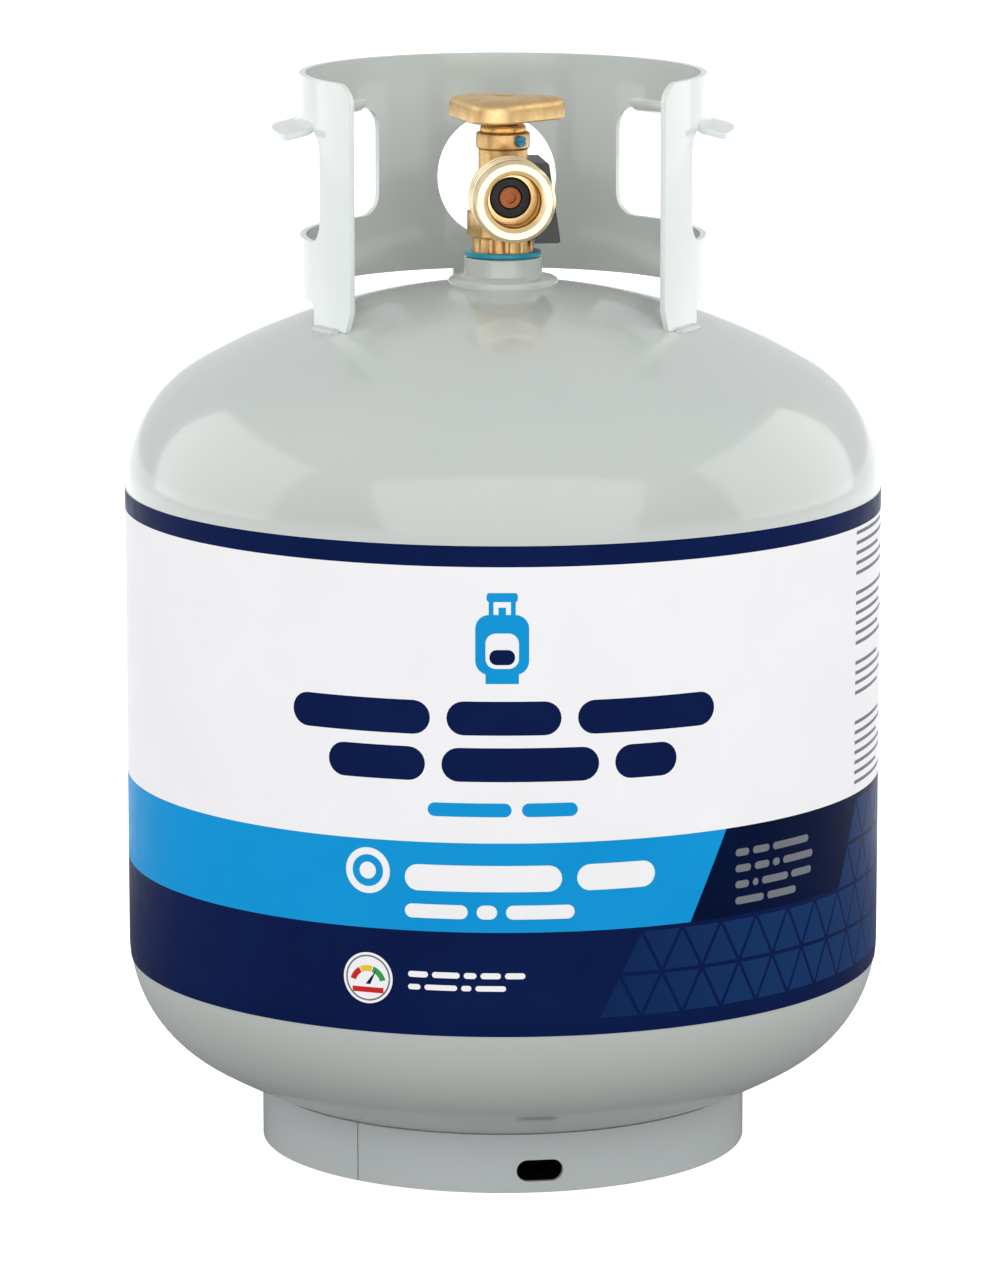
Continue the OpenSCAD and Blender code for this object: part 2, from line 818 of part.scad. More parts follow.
module opd_housing() {
  ear_low_z = pivot_z - 3.4;
  color("black") difference() {
    at_valve() union() {
      rod(opd_r, opd_low_z, body_low_z);
      rod(6.2, opd_low_z, body_low_z + 6);
      for (side = [-1, 1]) {
        translate([side > 0 ? ear_inner_x : -ear_outer_x, pivot_y - 3.2, ear_low_z])
          cube([ear_outer_x - ear_inner_x, 6.4, opd_low_z - ear_low_z + 1]);
      }
    }
    at_valve() {
      rod(opd_bore_r, opd_low_z + 3, opd_seat_z);
      rod(inlet_r, opd_low_z + 3, body_low_z + 7);
      rod(opd_rod_r + 0.1, opd_low_z - 1, opd_low_z + 4);
      for (turn = [45 : 90 : 315]) {
        rotate([0, 0, turn]) translate([0, 0, opd_seat_z - opd_window_r - 0.6]) rotate([90, 0, 0])
          cylinder(r = opd_window_r, h = opd_r + 1);
      }
      rotate([0, 0, bleed_turn]) translate([0, -dip_radius, 0])
        rod(dip_tube_r + 0.2, opd_low_z - 1, body_low_z + 1);
      translate([gauge_rod_x, 0, 0]) rod(gauge_rod_r + 0.2, opd_low_z - 1, body_low_z + 1);
      translate([-10, pivot_y, pivot_z]) rotate([0, 90, 0]) cylinder(r = pin_r + fit_gap, h = 20);
    }
  }
}

module opd_piston() {
  color("white") at_valve() {
    rod(opd_piston_r, opd_piston_low_z, opd_piston_low_z + opd_piston_t);
    rod(opd_rod_r, rod_foot_z, opd_piston_low_z + 1);
  }
}

module opd_piston_seal() {
  low = opd_piston_low_z + opd_piston_t;
  color("black") at_valve() rod(opd_piston_r - 0.3, low, low + opd_seal_t);
}

// A thin web with a round nose that lifts a rod, in the plane across the pivot
module lobe_outline() {
  low = float_swing / 2;
  rotate(-low) {
    translate([0, -web_half_t]) square([lobe_reach, 2 * web_half_t]);
    translate([lobe_reach, 0]) circle(r = lobe_r);
  }
}

// A lobe of a given width along X, at its place on the pivot
module lobe(low_x, width) {
  translate([low_x, pivot_y, pivot_z]) rotate([90, 0, 90]) linear_extrude(width)
    difference() {
      union() {
        circle(r = hub_r);
        mirror([1, 0]) lobe_outline();
      }
      circle(r = pin_r);
    }
}

module float_arm() {
  neck_top = pivot_z - hub_r + 0.6;
  color("silver") at_valve() {
    lobe(-hub_half_w, 2 * hub_half_w);
    lobe(gauge_cam_x, gauge_cam_w);
    translate([0, pivot_y, 0]) rod(arm_rod_r, pivot_z - float_arm_l, neck_top);
  }
}

module float_pin() {
  color("silver") at_valve() translate([-7.4, pivot_y, pivot_z]) rotate([0, 90, 0])
    cylinder(r = pin_r, h = gauge_cam_x + gauge_cam_w + 7.4);
}

module float() {
  bevel = 2;
  top = pivot_z - float_arm_l + float_l / 2;
  color("dimgray") at_valve() translate([0, pivot_y, 0]) difference() {
    rotate_extrude() polygon([
      [0, top - float_l],
      [float_r - bevel, top - float_l],
      [float_r, top - float_l + bevel],
      [float_r, top - bevel],
      [float_r - bevel, top],
      [0, top]
    ]);
    rod(arm_rod_r, pivot_z - float_arm_l, top + 1);
  }
}

module gauge_rod() {
  color("silver") at_valve() translate([gauge_rod_x, 0, 0]) rod(gauge_rod_r, rod_foot_z, gauge_rod_top_z);
}

module rod_magnet() {
  color("dimgray") at_valve() translate([gauge_rod_x, 0, 0])
    rod(gauge_rod_r, gauge_rod_top_z, gauge_rod_top_z + magnet_l);
}

// Side outline of the gauge housing: upright back, tilted face, bevelled top and bottom corners
module gauge_side() {
  half_h = (gauge_high_z - gauge_low_z) / 2;
  lean = half_h * tan(gauge_tilt);
  top_x = gauge_face_x - lean;
  low_x = gauge_face_x + lean;
  bevel = 0.8;
  polygon([
    [gauge_back_x, gauge_low_z],
    [low_x - bevel, gauge_low_z],
    [low_x, gauge_low_z + bevel],
    [top_x, gauge_high_z - bevel],
    [top_x - bevel, gauge_high_z],
    [gauge_back_x, gauge_high_z]
  ]);
}

module gauge_housing() {
  color("black") difference() {
    at_valve() translate([0, gauge_rear_y, 0]) rotate([90, 0, 0])
      linear_extrude(gauge_rear_y - gauge_front_y) gauge_side();
    on_gauge() {
      rod(dial_r, -dial_recess, 10);
      for (side = [-1, 1]) {
        translate([0, side * (dial_r + 1.4), 0]) rod(0.9, -6, 10);
      }
    }
    on_outlet() rod(horn_r + 0.1, 0, thread_start - 3);
    at_valve() {
      rod(block_r + 0.1, gauge_low_z - 1, block_top_z + tiny);
      rod(column_r + 1.1, gauge_low_z - 1, gauge_high_z + 1);
      translate([0, -gauge_boss_y - 0.1, block_low_z - 0.1])
        cube([gauge_boss_x, 2 * gauge_boss_y + 0.2, rod_bore_top_z + 2.2 - block_low_z]);
    }
    on_relief() rod(relief_boss_r + 0.1, 0, relief_boss_reach + 1);
  }
}

module gauge_dial() {
  color("white") on_gauge() difference() {
    rod(dial_r, -dial_recess, -dial_recess + dial_t);
    rod(pointer_axle_r + fit_gap, -dial_recess - 1, 0);
  }
}

module gauge_pointer() {
  low = -dial_recess + dial_t + 0.3;
  color("red") on_gauge() {
    rod(pointer_axle_r, -dial_recess + 0.02, low + 0.8);
    rod(2, low, low + 0.8);
    rotate([0, 0, 180 + float_swing]) translate([0, 0, low]) linear_extrude(0.5)
      polygon([[-3.5, -0.9], [0, -0.8], [9.6, -0.25], [9.6, 0.25], [0, 0.8], [-3.5, 0.9]]);
  }
}

module gauge_lens() {
  color("lightblue", 0.4) on_gauge() rod(dial_r, -lens_t, 0);
}

module gauge_screws() {
  color("silver") on_gauge() for (side = [-1, 1]) {
    translate([0, side * (dial_r + 1.4), 0]) {
      rod(0.9, -6, 0);
    }
  }
}

upper_shell();
lower_shell();
girth_weld();
neck_bung();
bung_weld();
collar();
collar_welds();
foot_ring();
foot_ring_welds();
label();
seal_ring();
valve_body();
bonnet();
upper_stem();
stem_o_ring();
handwheel();
handwheel_screw();
seat_plug();
seat_disc();
outlet_retainer();
outlet_seal();
check_piston();
check_spring();
bleed_screw();
dip_tube();
relief_cap();
relief_poppet();
relief_seal();
relief_spring();
opd_housing();
opd_piston();
opd_piston_seal();
float_arm();
float_pin();
float();
gauge_rod();
rod_magnet();
gauge_housing();
gauge_dial();
gauge_pointer();
gauge_lens();
gauge_screws();
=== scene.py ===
"""The looks of a steel propane cylinder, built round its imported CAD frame.

Lengths are millimetres, and become metres when a mesh is made. The studio's lengths are metres.
"""

import math

import bmesh
import bpy
from mathutils import Matrix, Vector, geometry


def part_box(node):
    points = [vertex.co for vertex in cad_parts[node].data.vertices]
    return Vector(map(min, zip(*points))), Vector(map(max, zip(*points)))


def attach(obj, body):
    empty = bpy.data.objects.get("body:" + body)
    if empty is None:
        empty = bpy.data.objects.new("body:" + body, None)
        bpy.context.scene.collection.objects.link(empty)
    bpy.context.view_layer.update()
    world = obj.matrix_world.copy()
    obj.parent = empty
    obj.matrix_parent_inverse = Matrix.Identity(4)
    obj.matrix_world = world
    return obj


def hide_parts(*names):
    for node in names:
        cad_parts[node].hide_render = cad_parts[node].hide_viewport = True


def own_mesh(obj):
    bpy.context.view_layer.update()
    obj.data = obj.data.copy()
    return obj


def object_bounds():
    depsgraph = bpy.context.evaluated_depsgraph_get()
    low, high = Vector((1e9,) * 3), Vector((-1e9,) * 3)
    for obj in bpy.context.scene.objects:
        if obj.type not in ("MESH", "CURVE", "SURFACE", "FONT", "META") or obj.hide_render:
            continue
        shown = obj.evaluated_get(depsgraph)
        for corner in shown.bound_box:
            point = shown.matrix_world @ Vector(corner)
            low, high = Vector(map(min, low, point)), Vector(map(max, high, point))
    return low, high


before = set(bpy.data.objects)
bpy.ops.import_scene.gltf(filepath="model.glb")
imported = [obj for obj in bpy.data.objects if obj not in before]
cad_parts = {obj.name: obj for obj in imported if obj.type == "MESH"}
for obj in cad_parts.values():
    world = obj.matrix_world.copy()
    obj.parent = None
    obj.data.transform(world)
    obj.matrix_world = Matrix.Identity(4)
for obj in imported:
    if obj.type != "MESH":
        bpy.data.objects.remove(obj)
CAD_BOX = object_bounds()
MM = 0.001
MERGE_DIST = 1e-4  # mm between points that become one


def node_box(name):
    """A CAD node's lowest and highest corners, in millimetres."""
    low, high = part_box(name)
    return low / MM, high / MM


# Shell
SHELL_LOW, SHELL_HIGH = node_box("upper_shell")
TANK_R = (SHELL_HIGH.x - SHELL_LOW.x) / 2
WALL = 2.0
CROWN_R = 253.0
KNUCKLE_R = 55.0
LOWER_TANGENT_Z = 86.0
UPPER_TANGENT_Z = 275.3
JOINT_LOW_Z, JOINT_HIGH_Z = node_box("girth_weld")[0].z, node_box("girth_weld")[1].z
CORE_R = TANK_R - KNUCKLE_R
CROWN_DROP = math.sqrt((CROWN_R - KNUCKLE_R) ** 2 - CORE_R**2)
CROWN_CENTRE_Z = UPPER_TANGENT_Z - CROWN_DROP

# Collar. Angles are degrees from the front
COLLAR_HIGH_Z = node_box("collar")[1].z
COLLAR_R = 83.0
COLLAR_T = 2.6
COLLAR_LOW_Z = 353.0
OPENING_HALF = 49.5
FRONT_LEG_TO = 69.0
REAR_LEG_HALF = 13.0
LEG_SLANT = 2.9
LEG_CORNER = 3.0
SLOT_FROM, SLOT_TO = 64.8, 142.0
SLOT_LOW_Z, SLOT_HIGH_Z = 377.5, 423.0
REAR_HOLE_Z, REAR_HOLE_R = 392.0, 26.0
CORNER_R = 9.0
LIP_BEND_R = 5.0
LIP_SLOPE = 12.0
LIP_MARGIN = 5.0
LIP_ROOT_Z = SLOT_HIGH_Z + LIP_BEND_R - COLLAR_T / 2

# Foot ring. Angles are degrees from the front towards +X
FOOT_HIGH_Z = node_box("foot_ring")[1].z
FOOT_R = 100.3
FOOT_T = 2.6
FOOT_SEAM_AT = -38.0
DRAIN_SLOTS_AT = (6.6, 126.6, 246.6)
DRAIN_W, DRAIN_H, DRAIN_Z = 19.0, 9.0, 9.0

# Label
LABEL_LOW_Z, LABEL_HIGH_Z = node_box("label")[0].z, node_box("label")[1].z
LABEL_T = 0.28

# Valve, which is turned a little on its axis
VALVE_TURN = math.radians(5)
OUTLET_Z = 394.7
RELIEF_Z = 380.5
AT_VALVE = Matrix.Rotation(VALVE_TURN, 4, "Z")
ON_OUTLET = AT_VALVE @ Matrix.Translation((0, 0, OUTLET_Z)) @ Matrix.Rotation(math.radians(90), 4, "X")
ON_RELIEF = AT_VALVE @ Matrix.Translation((0, 0, RELIEF_Z)) @ Matrix.Rotation(math.radians(-90), 4, "X")
GAUGE_FACE = (20.2, 6.0, 390.5)
GAUGE_TILT = math.radians(8)
ON_GAUGE = AT_VALVE @ Matrix.Translation(GAUGE_FACE) @ Matrix.Rotation(math.radians(90) - GAUGE_TILT, 4, "Y")

# Handwheel: three round corners, one of them 14 degrees to the left of the front
WHEEL_T = 9.4
WHEEL_CORNER_R = 11.0
WHEEL_CORNER_AT = 15.0
WHEEL_TURN = math.radians(-90 - 14)

# Materials
FILM_SPECULAR = 0.012
FILM_ROUGHNESS = 0.34
TOOL_PITCH = 0.35
WAVE_LENGTH = 0.314  # what a wave texture of scale 1 repeats over


# ---------------- materials


def rgb(red, green, blue):
    """A colour given on the usual 0 to 255 scale, as the linear numbers that shaders take."""

    def linear(c):
        c = c / 255
        return c / 12.92 if c <= 0.04045 else ((c + 0.055) / 1.055) ** 2.4

    return (linear(red), linear(green), linear(blue), 1.0)


def darker(colour, share):
    """colour with its light cut to a share."""
    return tuple(share * c for c in colour[:3]) + (1.0,)


def feed(node, values):
    """Sets inputs of node. Each value is a plain one or another node's output."""
    for key, value in values.items():
        if isinstance(value, bpy.types.NodeSocket):
            node.id_data.links.new(value, node.inputs[key])
        else:
            node.inputs[key].default_value = value


def add(tree, kind, values, **settings):
    """A new shader node with its settings and inputs."""
    made = tree.nodes.new("ShaderNode" + kind)
    for key, value in settings.items():
        setattr(made, key, value)
    feed(made, values)
    return made


def start_material(name, sockets):
    """A material, its Principled shader with plain sockets set, and the place that drives its patterns."""
    mat = bpy.data.materials.new(name)
    mat.use_nodes = True
    shader = mat.node_tree.nodes["Principled BSDF"]
    feed(shader, sockets)
    return mat, shader, add(mat.node_tree, "TexCoord", {}).outputs["Object"]


def noise(place, size_mm, detail=2.0, roughness=0.5):
    """A noise pattern whose blobs are about size_mm across."""
    values = {"Vector": place, "Scale": 1 / (size_mm * MM), "Detail": detail, "Roughness": roughness}
    return add(place.id_data, "TexNoise", values).outputs["Fac"]


def spread(value, low, high, from_low=0.3, from_high=0.7):
    """value, carried from its usual range to the range low to high."""
    values = {"Value": value, "From Min": from_low, "From Max": from_high, "To Min": low, "To Max": high}
    return add(value.id_data, "MapRange", values).outputs["Result"]


def blend_colours(factor, first, second):
    """first where factor is 0 and second where it is 1. Each is a colour or an output."""
    return add(factor.id_data, "Mix", {"Factor": factor, 6: first, 7: second}, data_type="RGBA").outputs[2]


def axes(place):
    """The separate X, Y and Z of a position."""
    return add(place.id_data, "SeparateXYZ", {"Vector": place}).outputs


def bump(shader, height, depth_mm, strength=1.0, under=None):
    """Lets height push the shading about by depth_mm, over any bump given as under."""
    made = add(shader.id_data, "Bump", {"Strength": strength, "Distance": depth_mm * MM, "Height": height})
    if under:
        feed(made, {"Normal": under})
    feed(shader, {"Normal": made.outputs["Normal"]})
    return made.outputs["Normal"]


def gloss_paint(name, colour, shade, dust=0.04):
    """Sprayed gloss enamel: faint orange peel, slow tint drift and a few matt scuffs."""
    looks = {"Coat Weight": 0.35, "Coat Roughness": 0.04, "Specular IOR Level": 0.5}
    mat, shader, place = start_material(name, looks)
    drift = spread(noise(place, 90, 3), 0, 1)
    tint = blend_colours(drift, colour, shade)
    specks = spread(noise(place, 1.1, 4, 0.7), 0, dust, 0.62, 0.78)
    tint = blend_colours(specks, tint, rgb(150, 150, 142))
    scuffs = spread(noise(place, 14, 5, 0.65), 0.13, 0.24)
    feed(shader, {"Base Color": tint, "Roughness": scuffs})
    peel = bump(shader, noise(place, 2.2, 1.5), 0.012)
    bump(shader, noise(place, 60, 1), 0.10, 0.6, peel)
    return mat


def printed_film(name, colour, shade=None):
    """Printed label film: satin laminate with a faint ripple, and ink that varies a little."""
    mat, shader, place = start_material(name, {"Specular IOR Level": FILM_SPECULAR})
    drift = spread(noise(place, 35, 3), 0, 1)
    tint = blend_colours(drift, colour, shade or darker(colour, 0.93))
    rough = spread(noise(place, 9, 4), FILM_ROUGHNESS - 0.05, FILM_ROUGHNESS + 0.06)
    feed(shader, {"Base Color": tint, "Roughness": rough})
    bump(shader, noise(place, 26, 2), 0.035, 0.5)
    return mat


def lattice_film(name, dark, light):
    """The pale triangles of the label's pattern, which fade out towards the front."""
    looks = {"Specular IOR Level": FILM_SPECULAR, "Roughness": FILM_ROUGHNESS}
    mat, shader, place = start_material(name, looks)
    fade = spread(axes(place)["X"], 0.25, 1, 0.02, 0.1)
    feed(shader, {"Base Color": blend_colours(fade, dark, light)})
    bump(shader, noise(place, 26, 2), 0.035, 0.5)
    return mat


def valve_brass(name, forged, machined):
    """Forged brass whose outlet, which is all of it beyond 20 mm in front of the stem, is turned bright."""
    mat, shader, place = start_material(name, {"Metallic": 1.0})
    outlet = spread(axes(place)["Y"], 1, 0, -0.0205, -0.0195)
    patches = spread(noise(place, 7, 4, 0.6), 0, 1)
    rough_tint = blend_colours(patches, forged, darker(forged, 0.8))
    spots = spread(noise(place, 1.3, 5, 0.7), 0, 0.3, 0.5, 0.75)
    rough_tint = blend_colours(spots, rough_tint, darker(forged, 0.36))
    bright_tint = blend_colours(patches, machined, darker(machined, 0.92))
    grain = spread(noise(place, 2.5, 4), 0.34, 0.5)
    polish = spread(noise(place, 3, 4), 0.3, 0.4)
    rough = add(outlet.id_data, "Mix", {0: outlet, 2: grain, 3: polish}, data_type="FLOAT").outputs[0]
    tint = blend_colours(outlet, rough_tint, bright_tint)
    feed(shader, {"Base Color": tint, "Roughness": rough})
    bump(shader, noise(place, 0.7, 3), 0.035, 0.7)
    return mat


def forged_metal(name, colour, shade, roughness, grain_mm=0.7, depth_mm=0.05, tarnish=0.35):
    """Forged or cast metal: a grainy skin, patches of tarnish and a roughness that follows them."""
    mat, shader, place = start_material(name, {"Metallic": 1.0})
    patches = spread(noise(place, 7, 4, 0.6), 0, 1)
    tint = blend_colours(patches, colour, shade)
    spots = spread(noise(place, 1.3, 5, 0.7), 0, tarnish, 0.5, 0.75)
    tint = blend_colours(spots, tint, darker(shade, 0.42))
    rough = spread(noise(place, 2.5, 4), roughness - 0.08, roughness + 0.12)
    feed(shader, {"Base Color": tint, "Roughness": rough})
    bump(shader, noise(place, grain_mm, 3), depth_mm, 0.8)
    return mat


def turned_metal(name, colour, shade, roughness, along):
    """Lathe-turned metal: fine tool rings across the direction named by along, with a light drift of tint."""
    mat, shader, place = start_material(name, {"Metallic": 1.0})
    patches = spread(noise(place, 9, 3), 0, 1)
    tint = blend_colours(patches, colour, shade)
    rough = spread(noise(place, 3, 4), roughness - 0.05, roughness + 0.08)
    feed(shader, {"Base Color": tint, "Roughness": rough})
    values = {"Vector": place, "Scale": WAVE_LENGTH / (TOOL_PITCH * MM), "Distortion": 0.6}
    rings = add(place.id_data, "TexWave", values, bands_direction=along)
    bump(shader, rings.outputs["Fac"], 0.006, 0.6)
    return mat


def moulded(name, colour, shade, roughness, grain_mm=0.5, depth_mm=0.02, looks=None):
    """Moulded plastic, rubber or foam: a fine grain, and a tint and gloss that vary a little."""
    mat, shader, place = start_material(name, looks or {})
    drift = spread(noise(place, 6, 4), 0, 1)
    tint = blend_colours(drift, colour, shade)
    rough = spread(noise(place, 2, 4), roughness - 0.06, roughness + 0.08)
    feed(shader, {"Base Color": tint, "Roughness": rough})
    bump(shader, noise(place, grain_mm, 3), depth_mm, 0.7)
    return mat


def clear_plastic(name):
    """A clear lens with a faint smear in its gloss."""
    looks = {"Base Color": (0.96, 0.98, 0.98, 1), "Transmission Weight": 1.0, "IOR": 1.49}
    mat, shader, place = start_material(name, looks)
    feed(shader, {"Roughness": spread(noise(place, 5, 3), 0.01, 0.05)})
    return mat


SHELL_PAINT = gloss_paint("shell_paint", rgb(191, 195, 190), rgb(187, 192, 187))
COLLAR_PAINT = gloss_paint("collar_paint", rgb(220, 225, 221), rgb(216, 221, 216))
# The collar's inner face: the collar paint made greyer, which is painted shade inside the collar.
COLLAR_INSIDE_SHADE = gloss_paint("collar_inside_painted_shade", rgb(192, 197, 192), rgb(187, 192, 187))
FOOT_PAINT = gloss_paint("foot_paint", rgb(191, 195, 195), rgb(185, 190, 189), dust=0.12)
WELD_PAINT = gloss_paint("weld_paint", rgb(196, 200, 196), rgb(184, 189, 184), dust=0.15)
WELD_STEEL = forged_metal("weld_steel", rgb(120, 118, 112), rgb(92, 88, 84), 0.5)
BRASS = valve_brass("valve_brass", rgb(204, 166, 112), rgb(246, 226, 186))
RIM_BRASS = turned_metal("turned_brass", rgb(240, 212, 158), rgb(226, 190, 130), 0.3, "Y")
STEM_BRASS = turned_metal("stem_brass", rgb(205, 160, 95), rgb(180, 134, 74), 0.3, "Z")
WHEEL_METAL = forged_metal("handwheel_metal", rgb(226, 194, 142), rgb(206, 170, 114), 0.44, 0.9, 0.03, 0.16)
COPPERY = turned_metal("piston_brass", rgb(136, 80, 50), rgb(104, 58, 34), 0.28, "Y")
STEEL = turned_metal("screw_steel", rgb(176, 178, 180), rgb(140, 142, 146), 0.3, "Z")
SPRING_STEEL = turned_metal("spring_steel", rgb(160, 162, 166), rgb(120, 122, 126), 0.25, "Y")
RUBBER = moulded("black_rubber", rgb(16, 16, 17), rgb(24, 24, 25), 0.45, looks={"Specular IOR Level": 0.3})
BLACK_PLASTIC = moulded("black_plastic", rgb(38, 38, 40), rgb(47, 47, 49), 0.38)
WHITE_PLASTIC = moulded("white_plastic", rgb(224, 224, 218), rgb(214, 213, 206), 0.4)
SEAL_PLASTIC = moulded("seal_blue_green", rgb(0, 150, 172), rgb(0, 136, 158), 0.32)
BLEED_BLUE = moulded("bleed_blue", rgb(4, 128, 172), rgb(4, 108, 148), 0.34)
FOAM = moulded("float_foam", rgb(60, 60, 62), rgb(44, 44, 46), 0.8, 0.9, 0.18)
MAGNET = moulded("magnet", rgb(64, 62, 62), rgb(50, 48, 48), 0.5, 0.3, 0.03, {"Metallic": 0.6})
POINTER_RED = moulded("pointer_red", rgb(206, 32, 30), rgb(186, 24, 24), 0.35)
CLEAR = clear_plastic("clear_plastic")

FILMS = [
    printed_film("white_film", rgb(246, 244, 245), rgb(243, 241, 242)),
    printed_film("navy_film", rgb(14, 30, 76), rgb(11, 26, 68)),
    printed_film("blue_film", rgb(22, 152, 216), rgb(18, 146, 211)),
    printed_film("deep_navy_film", rgb(6, 20, 54), rgb(5, 17, 48)),
    lattice_film("lattice_film", rgb(14, 30, 76), rgb(22, 52, 98)),
    printed_film("grey_film", rgb(120, 122, 128)),
    printed_film("green_film", rgb(58, 160, 82)),
    printed_film("yellow_film", rgb(238, 200, 50)),
    printed_film("red_film", rgb(206, 44, 44)),
]
WHITE, NAVY, BLUE, DEEP, LATTICE, GREY, GREEN, YELLOW, RED = range(len(FILMS))


# ---------------- mesh tools


def arc(centre, radius, start, end, step=6.0):
    """Points of an arc round centre, from start to end in degrees."""
    count = max(2, math.ceil(abs(end - start) / step))
    turns = [math.radians(start + (end - start) * i / count) for i in range(count + 1)]
    return [(centre[0] + radius * math.cos(t), centre[1] + radius * math.sin(t)) for t in turns]


def softened(outline, radius, steps=3):
    """A closed outline with its corners rounded off, apart from the faint ones of a curve."""
    least_turn = math.radians(20)
    done = []
    count = len(outline)
    for i in range(count):
        here = Vector(outline[i])
        before = Vector(outline[i - 1]) - here
        after = Vector(outline[(i + 1) % count]) - here
        turn = math.pi - before.angle(after)
        if turn < least_turn:
            done.append(tuple(here))
            continue
        reach = min(radius * math.tan(turn / 2), before.length * 0.45, after.length * 0.45)
        first = here + before.normalized() * reach
        last = here + after.normalized() * reach
        for k in range(steps + 1):
            t = k / steps
            done.append(tuple(first * (1 - t) ** 2 + here * 2 * t * (1 - t) + last * t**2))
    return done


def rectangle(low_x, low_y, high_x, high_y):
    """The corners of an upright rectangle."""
    return [(low_x, low_y), (high_x, low_y), (high_x, high_y), (low_x, high_y)]


def bar(low_x, low_y, high_x, high_y, radius=None):
    """A bar with round corners, or with round ends when no radius is given."""
    radius = radius or min(high_x - low_x, high_y - low_y) / 2 - 0.001
    corners = (
        ((high_x - radius, low_y + radius), -90),
        ((high_x - radius, high_y - radius), 0),
        ((low_x + radius, high_y - radius), 90),
        ((low_x + radius, low_y + radius), 180),
    )
    return [p for centre, start in corners for p in arc(centre, radius, start, start + 90, 15)]


def disc(x, y, radius, step=7.5):
    """A circle's points, step degrees apart."""
    return arc((x, y), radius, 0, 360, step)[:-1]


def arc_band(x, y, inner, outer, start, end):
    """Part of a flat ring, for a dial's coloured bands."""
    return arc((x, y), outer, start, end) + arc((x, y), inner, end, start)


def new_piece(name, bm, body, materials, least_turn=30.0, place=None):
    """Makes bm, which is in millimetres, an object in metres that rides on body."""
    if place:
        bmesh.ops.transform(bm, matrix=place, verts=bm.verts)
    bmesh.ops.scale(bm, vec=(MM, MM, MM), verts=bm.verts)
    bmesh.ops.recalc_face_normals(bm, faces=bm.faces)
    mesh = bpy.data.meshes.new(name)
    bm.to_mesh(mesh)
    bm.free()
    for mat in materials:
        mesh.materials.append(mat)
    smooth(mesh, least_turn)
    piece = bpy.data.objects.new(name, mesh)
    bpy.context.scene.collection.objects.link(piece)
    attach(piece, body)
    return piece


def join_rings(bm, rings):
    """Faces between each ring of points and the next."""
    for near, far in zip(rings, rings[1:]):
        count = len(near)
        for k in range(count):
            bm.faces.new((near[k], near[(k + 1) % count], far[(k + 1) % count], far[k]))


def close_tube(bm, rings):
    """Joins rings of points to a tube with closed ends."""
    join_rings(bm, rings)
    bm.faces.new(rings[0])
    bm.faces.new(rings[-1][::-1])


def lathe(name, outline, material, steps, place=None, least_turn=30.0):
    """Turns a closed outline of (radius, height) points round the Z axis of place, as a piece of the tank."""
    bm = bmesh.new()
    rings = []
    for i in range(steps):
        turn = 2 * math.pi * i / steps
        rings.append([bm.verts.new((r * math.cos(turn), r * math.sin(turn), z)) for r, z in outline])
    count = len(outline)
    for near, far in zip(rings, rings[1:] + rings[:1]):
        for k in range(count):
            bm.faces.new((near[k], far[k], far[(k + 1) % count], near[(k + 1) % count]))
    bmesh.ops.remove_doubles(bm, verts=bm.verts, dist=MERGE_DIST)
    bmesh.ops.dissolve_degenerate(bm, edges=bm.edges, dist=1e-5)
    return new_piece(name, bm, "cylinder", [material], least_turn, place)


def cut_sheet(outline, layers=(), holes=(), lines=()):
    """A flat sheet's points, and its triangles with the index of the top layer that covers each.

    It is cut along every outline and line. A layer is a pair: its index and its outline.
    """
    points, edges, faces, tags = [], [], [], []
    for tag, loop in [(0, outline), *layers, *((-1, hole) for hole in holes)]:
        start = len(points)
        points.extend(Vector(p) for p in loop)
        faces.append(list(range(start, len(points))))
        tags.append(tag)
    for first, last in lines:
        edges.append((len(points), len(points) + 1))
        points.extend((Vector(first), Vector(last)))
    inside_only, nearest = 1, 1e-5
    found = geometry.delaunay_2d_cdt(points, edges, faces, inside_only, nearest)
    triangles = []
    for corners, origin in zip(found[2], found[5]):
        if 0 not in origin or any(tags[k] < 0 for k in origin):
            continue
        triangles.append((corners, tags[max(origin)]))
    return found[0], triangles


def bent_sheet(name, cut, surface, thickness, materials, rounding=0.0, inside=0):
    """Bends a cut sheet by surface, which gives a point and its outward normal, and thickens it inwards.

    The piece rides on the tank. inside is the index of the material on its inner face.
    """
    flat, triangles = cut
    bm = bmesh.new()
    outer, normals = {}, {}
    for index in sorted({c for corners, _ in triangles for c in corners}):
        point, normal = surface(*flat[index])
        outer[index] = bm.verts.new(point)
        normals[outer[index]] = Vector(normal)
    for corners, tag in triangles:
        face = bm.faces.new([outer[c] for c in corners])
        face.material_index = tag
    bmesh.ops.remove_doubles(bm, verts=bm.verts, dist=MERGE_DIST)
    inner = {}
    for vert in list(bm.verts):
        inner[vert] = bm.verts.new(vert.co - normals[vert] * thickness)
    rim = [e for e in bm.edges if len(e.link_faces) == 1]
    for face in list(bm.faces):
        back = bm.faces.new([inner[v] for v in reversed(face.verts)])
        back.material_index = inside
    for edge in rim:
        a, b = edge.verts
        bm.faces.new((a, b, inner[b], inner[a]))
    piece = new_piece(name, bm, "cylinder", materials)
    if rounding:
        round_edges(piece, rounding, 3, 50)
        settle(piece)
    true_normals(piece)
    return piece


def round_edges(piece, rounding, segments, least_turn):
    """Rounds the edges that turn more than least_turn degrees."""
    bevel = piece.modifiers.new("rounded_edges", "BEVEL")
    bevel.width = rounding * MM
    bevel.segments = segments
    bevel.limit_method = "ANGLE"
    bevel.angle_limit = math.radians(least_turn)
    return bevel


def smooth(mesh, least_turn):
    """Shades a mesh smooth, apart from edges that turn more than least_turn degrees."""
    mesh.shade_smooth()
    mesh.set_sharp_from_angle(angle=math.radians(least_turn))


def settle(piece):
    """Applies every modifier of piece."""
    shaped = piece.evaluated_get(bpy.context.evaluated_depsgraph_get())
    made = bpy.data.meshes.new_from_object(shaped)
    piece.modifiers.clear()
    piece.data = made


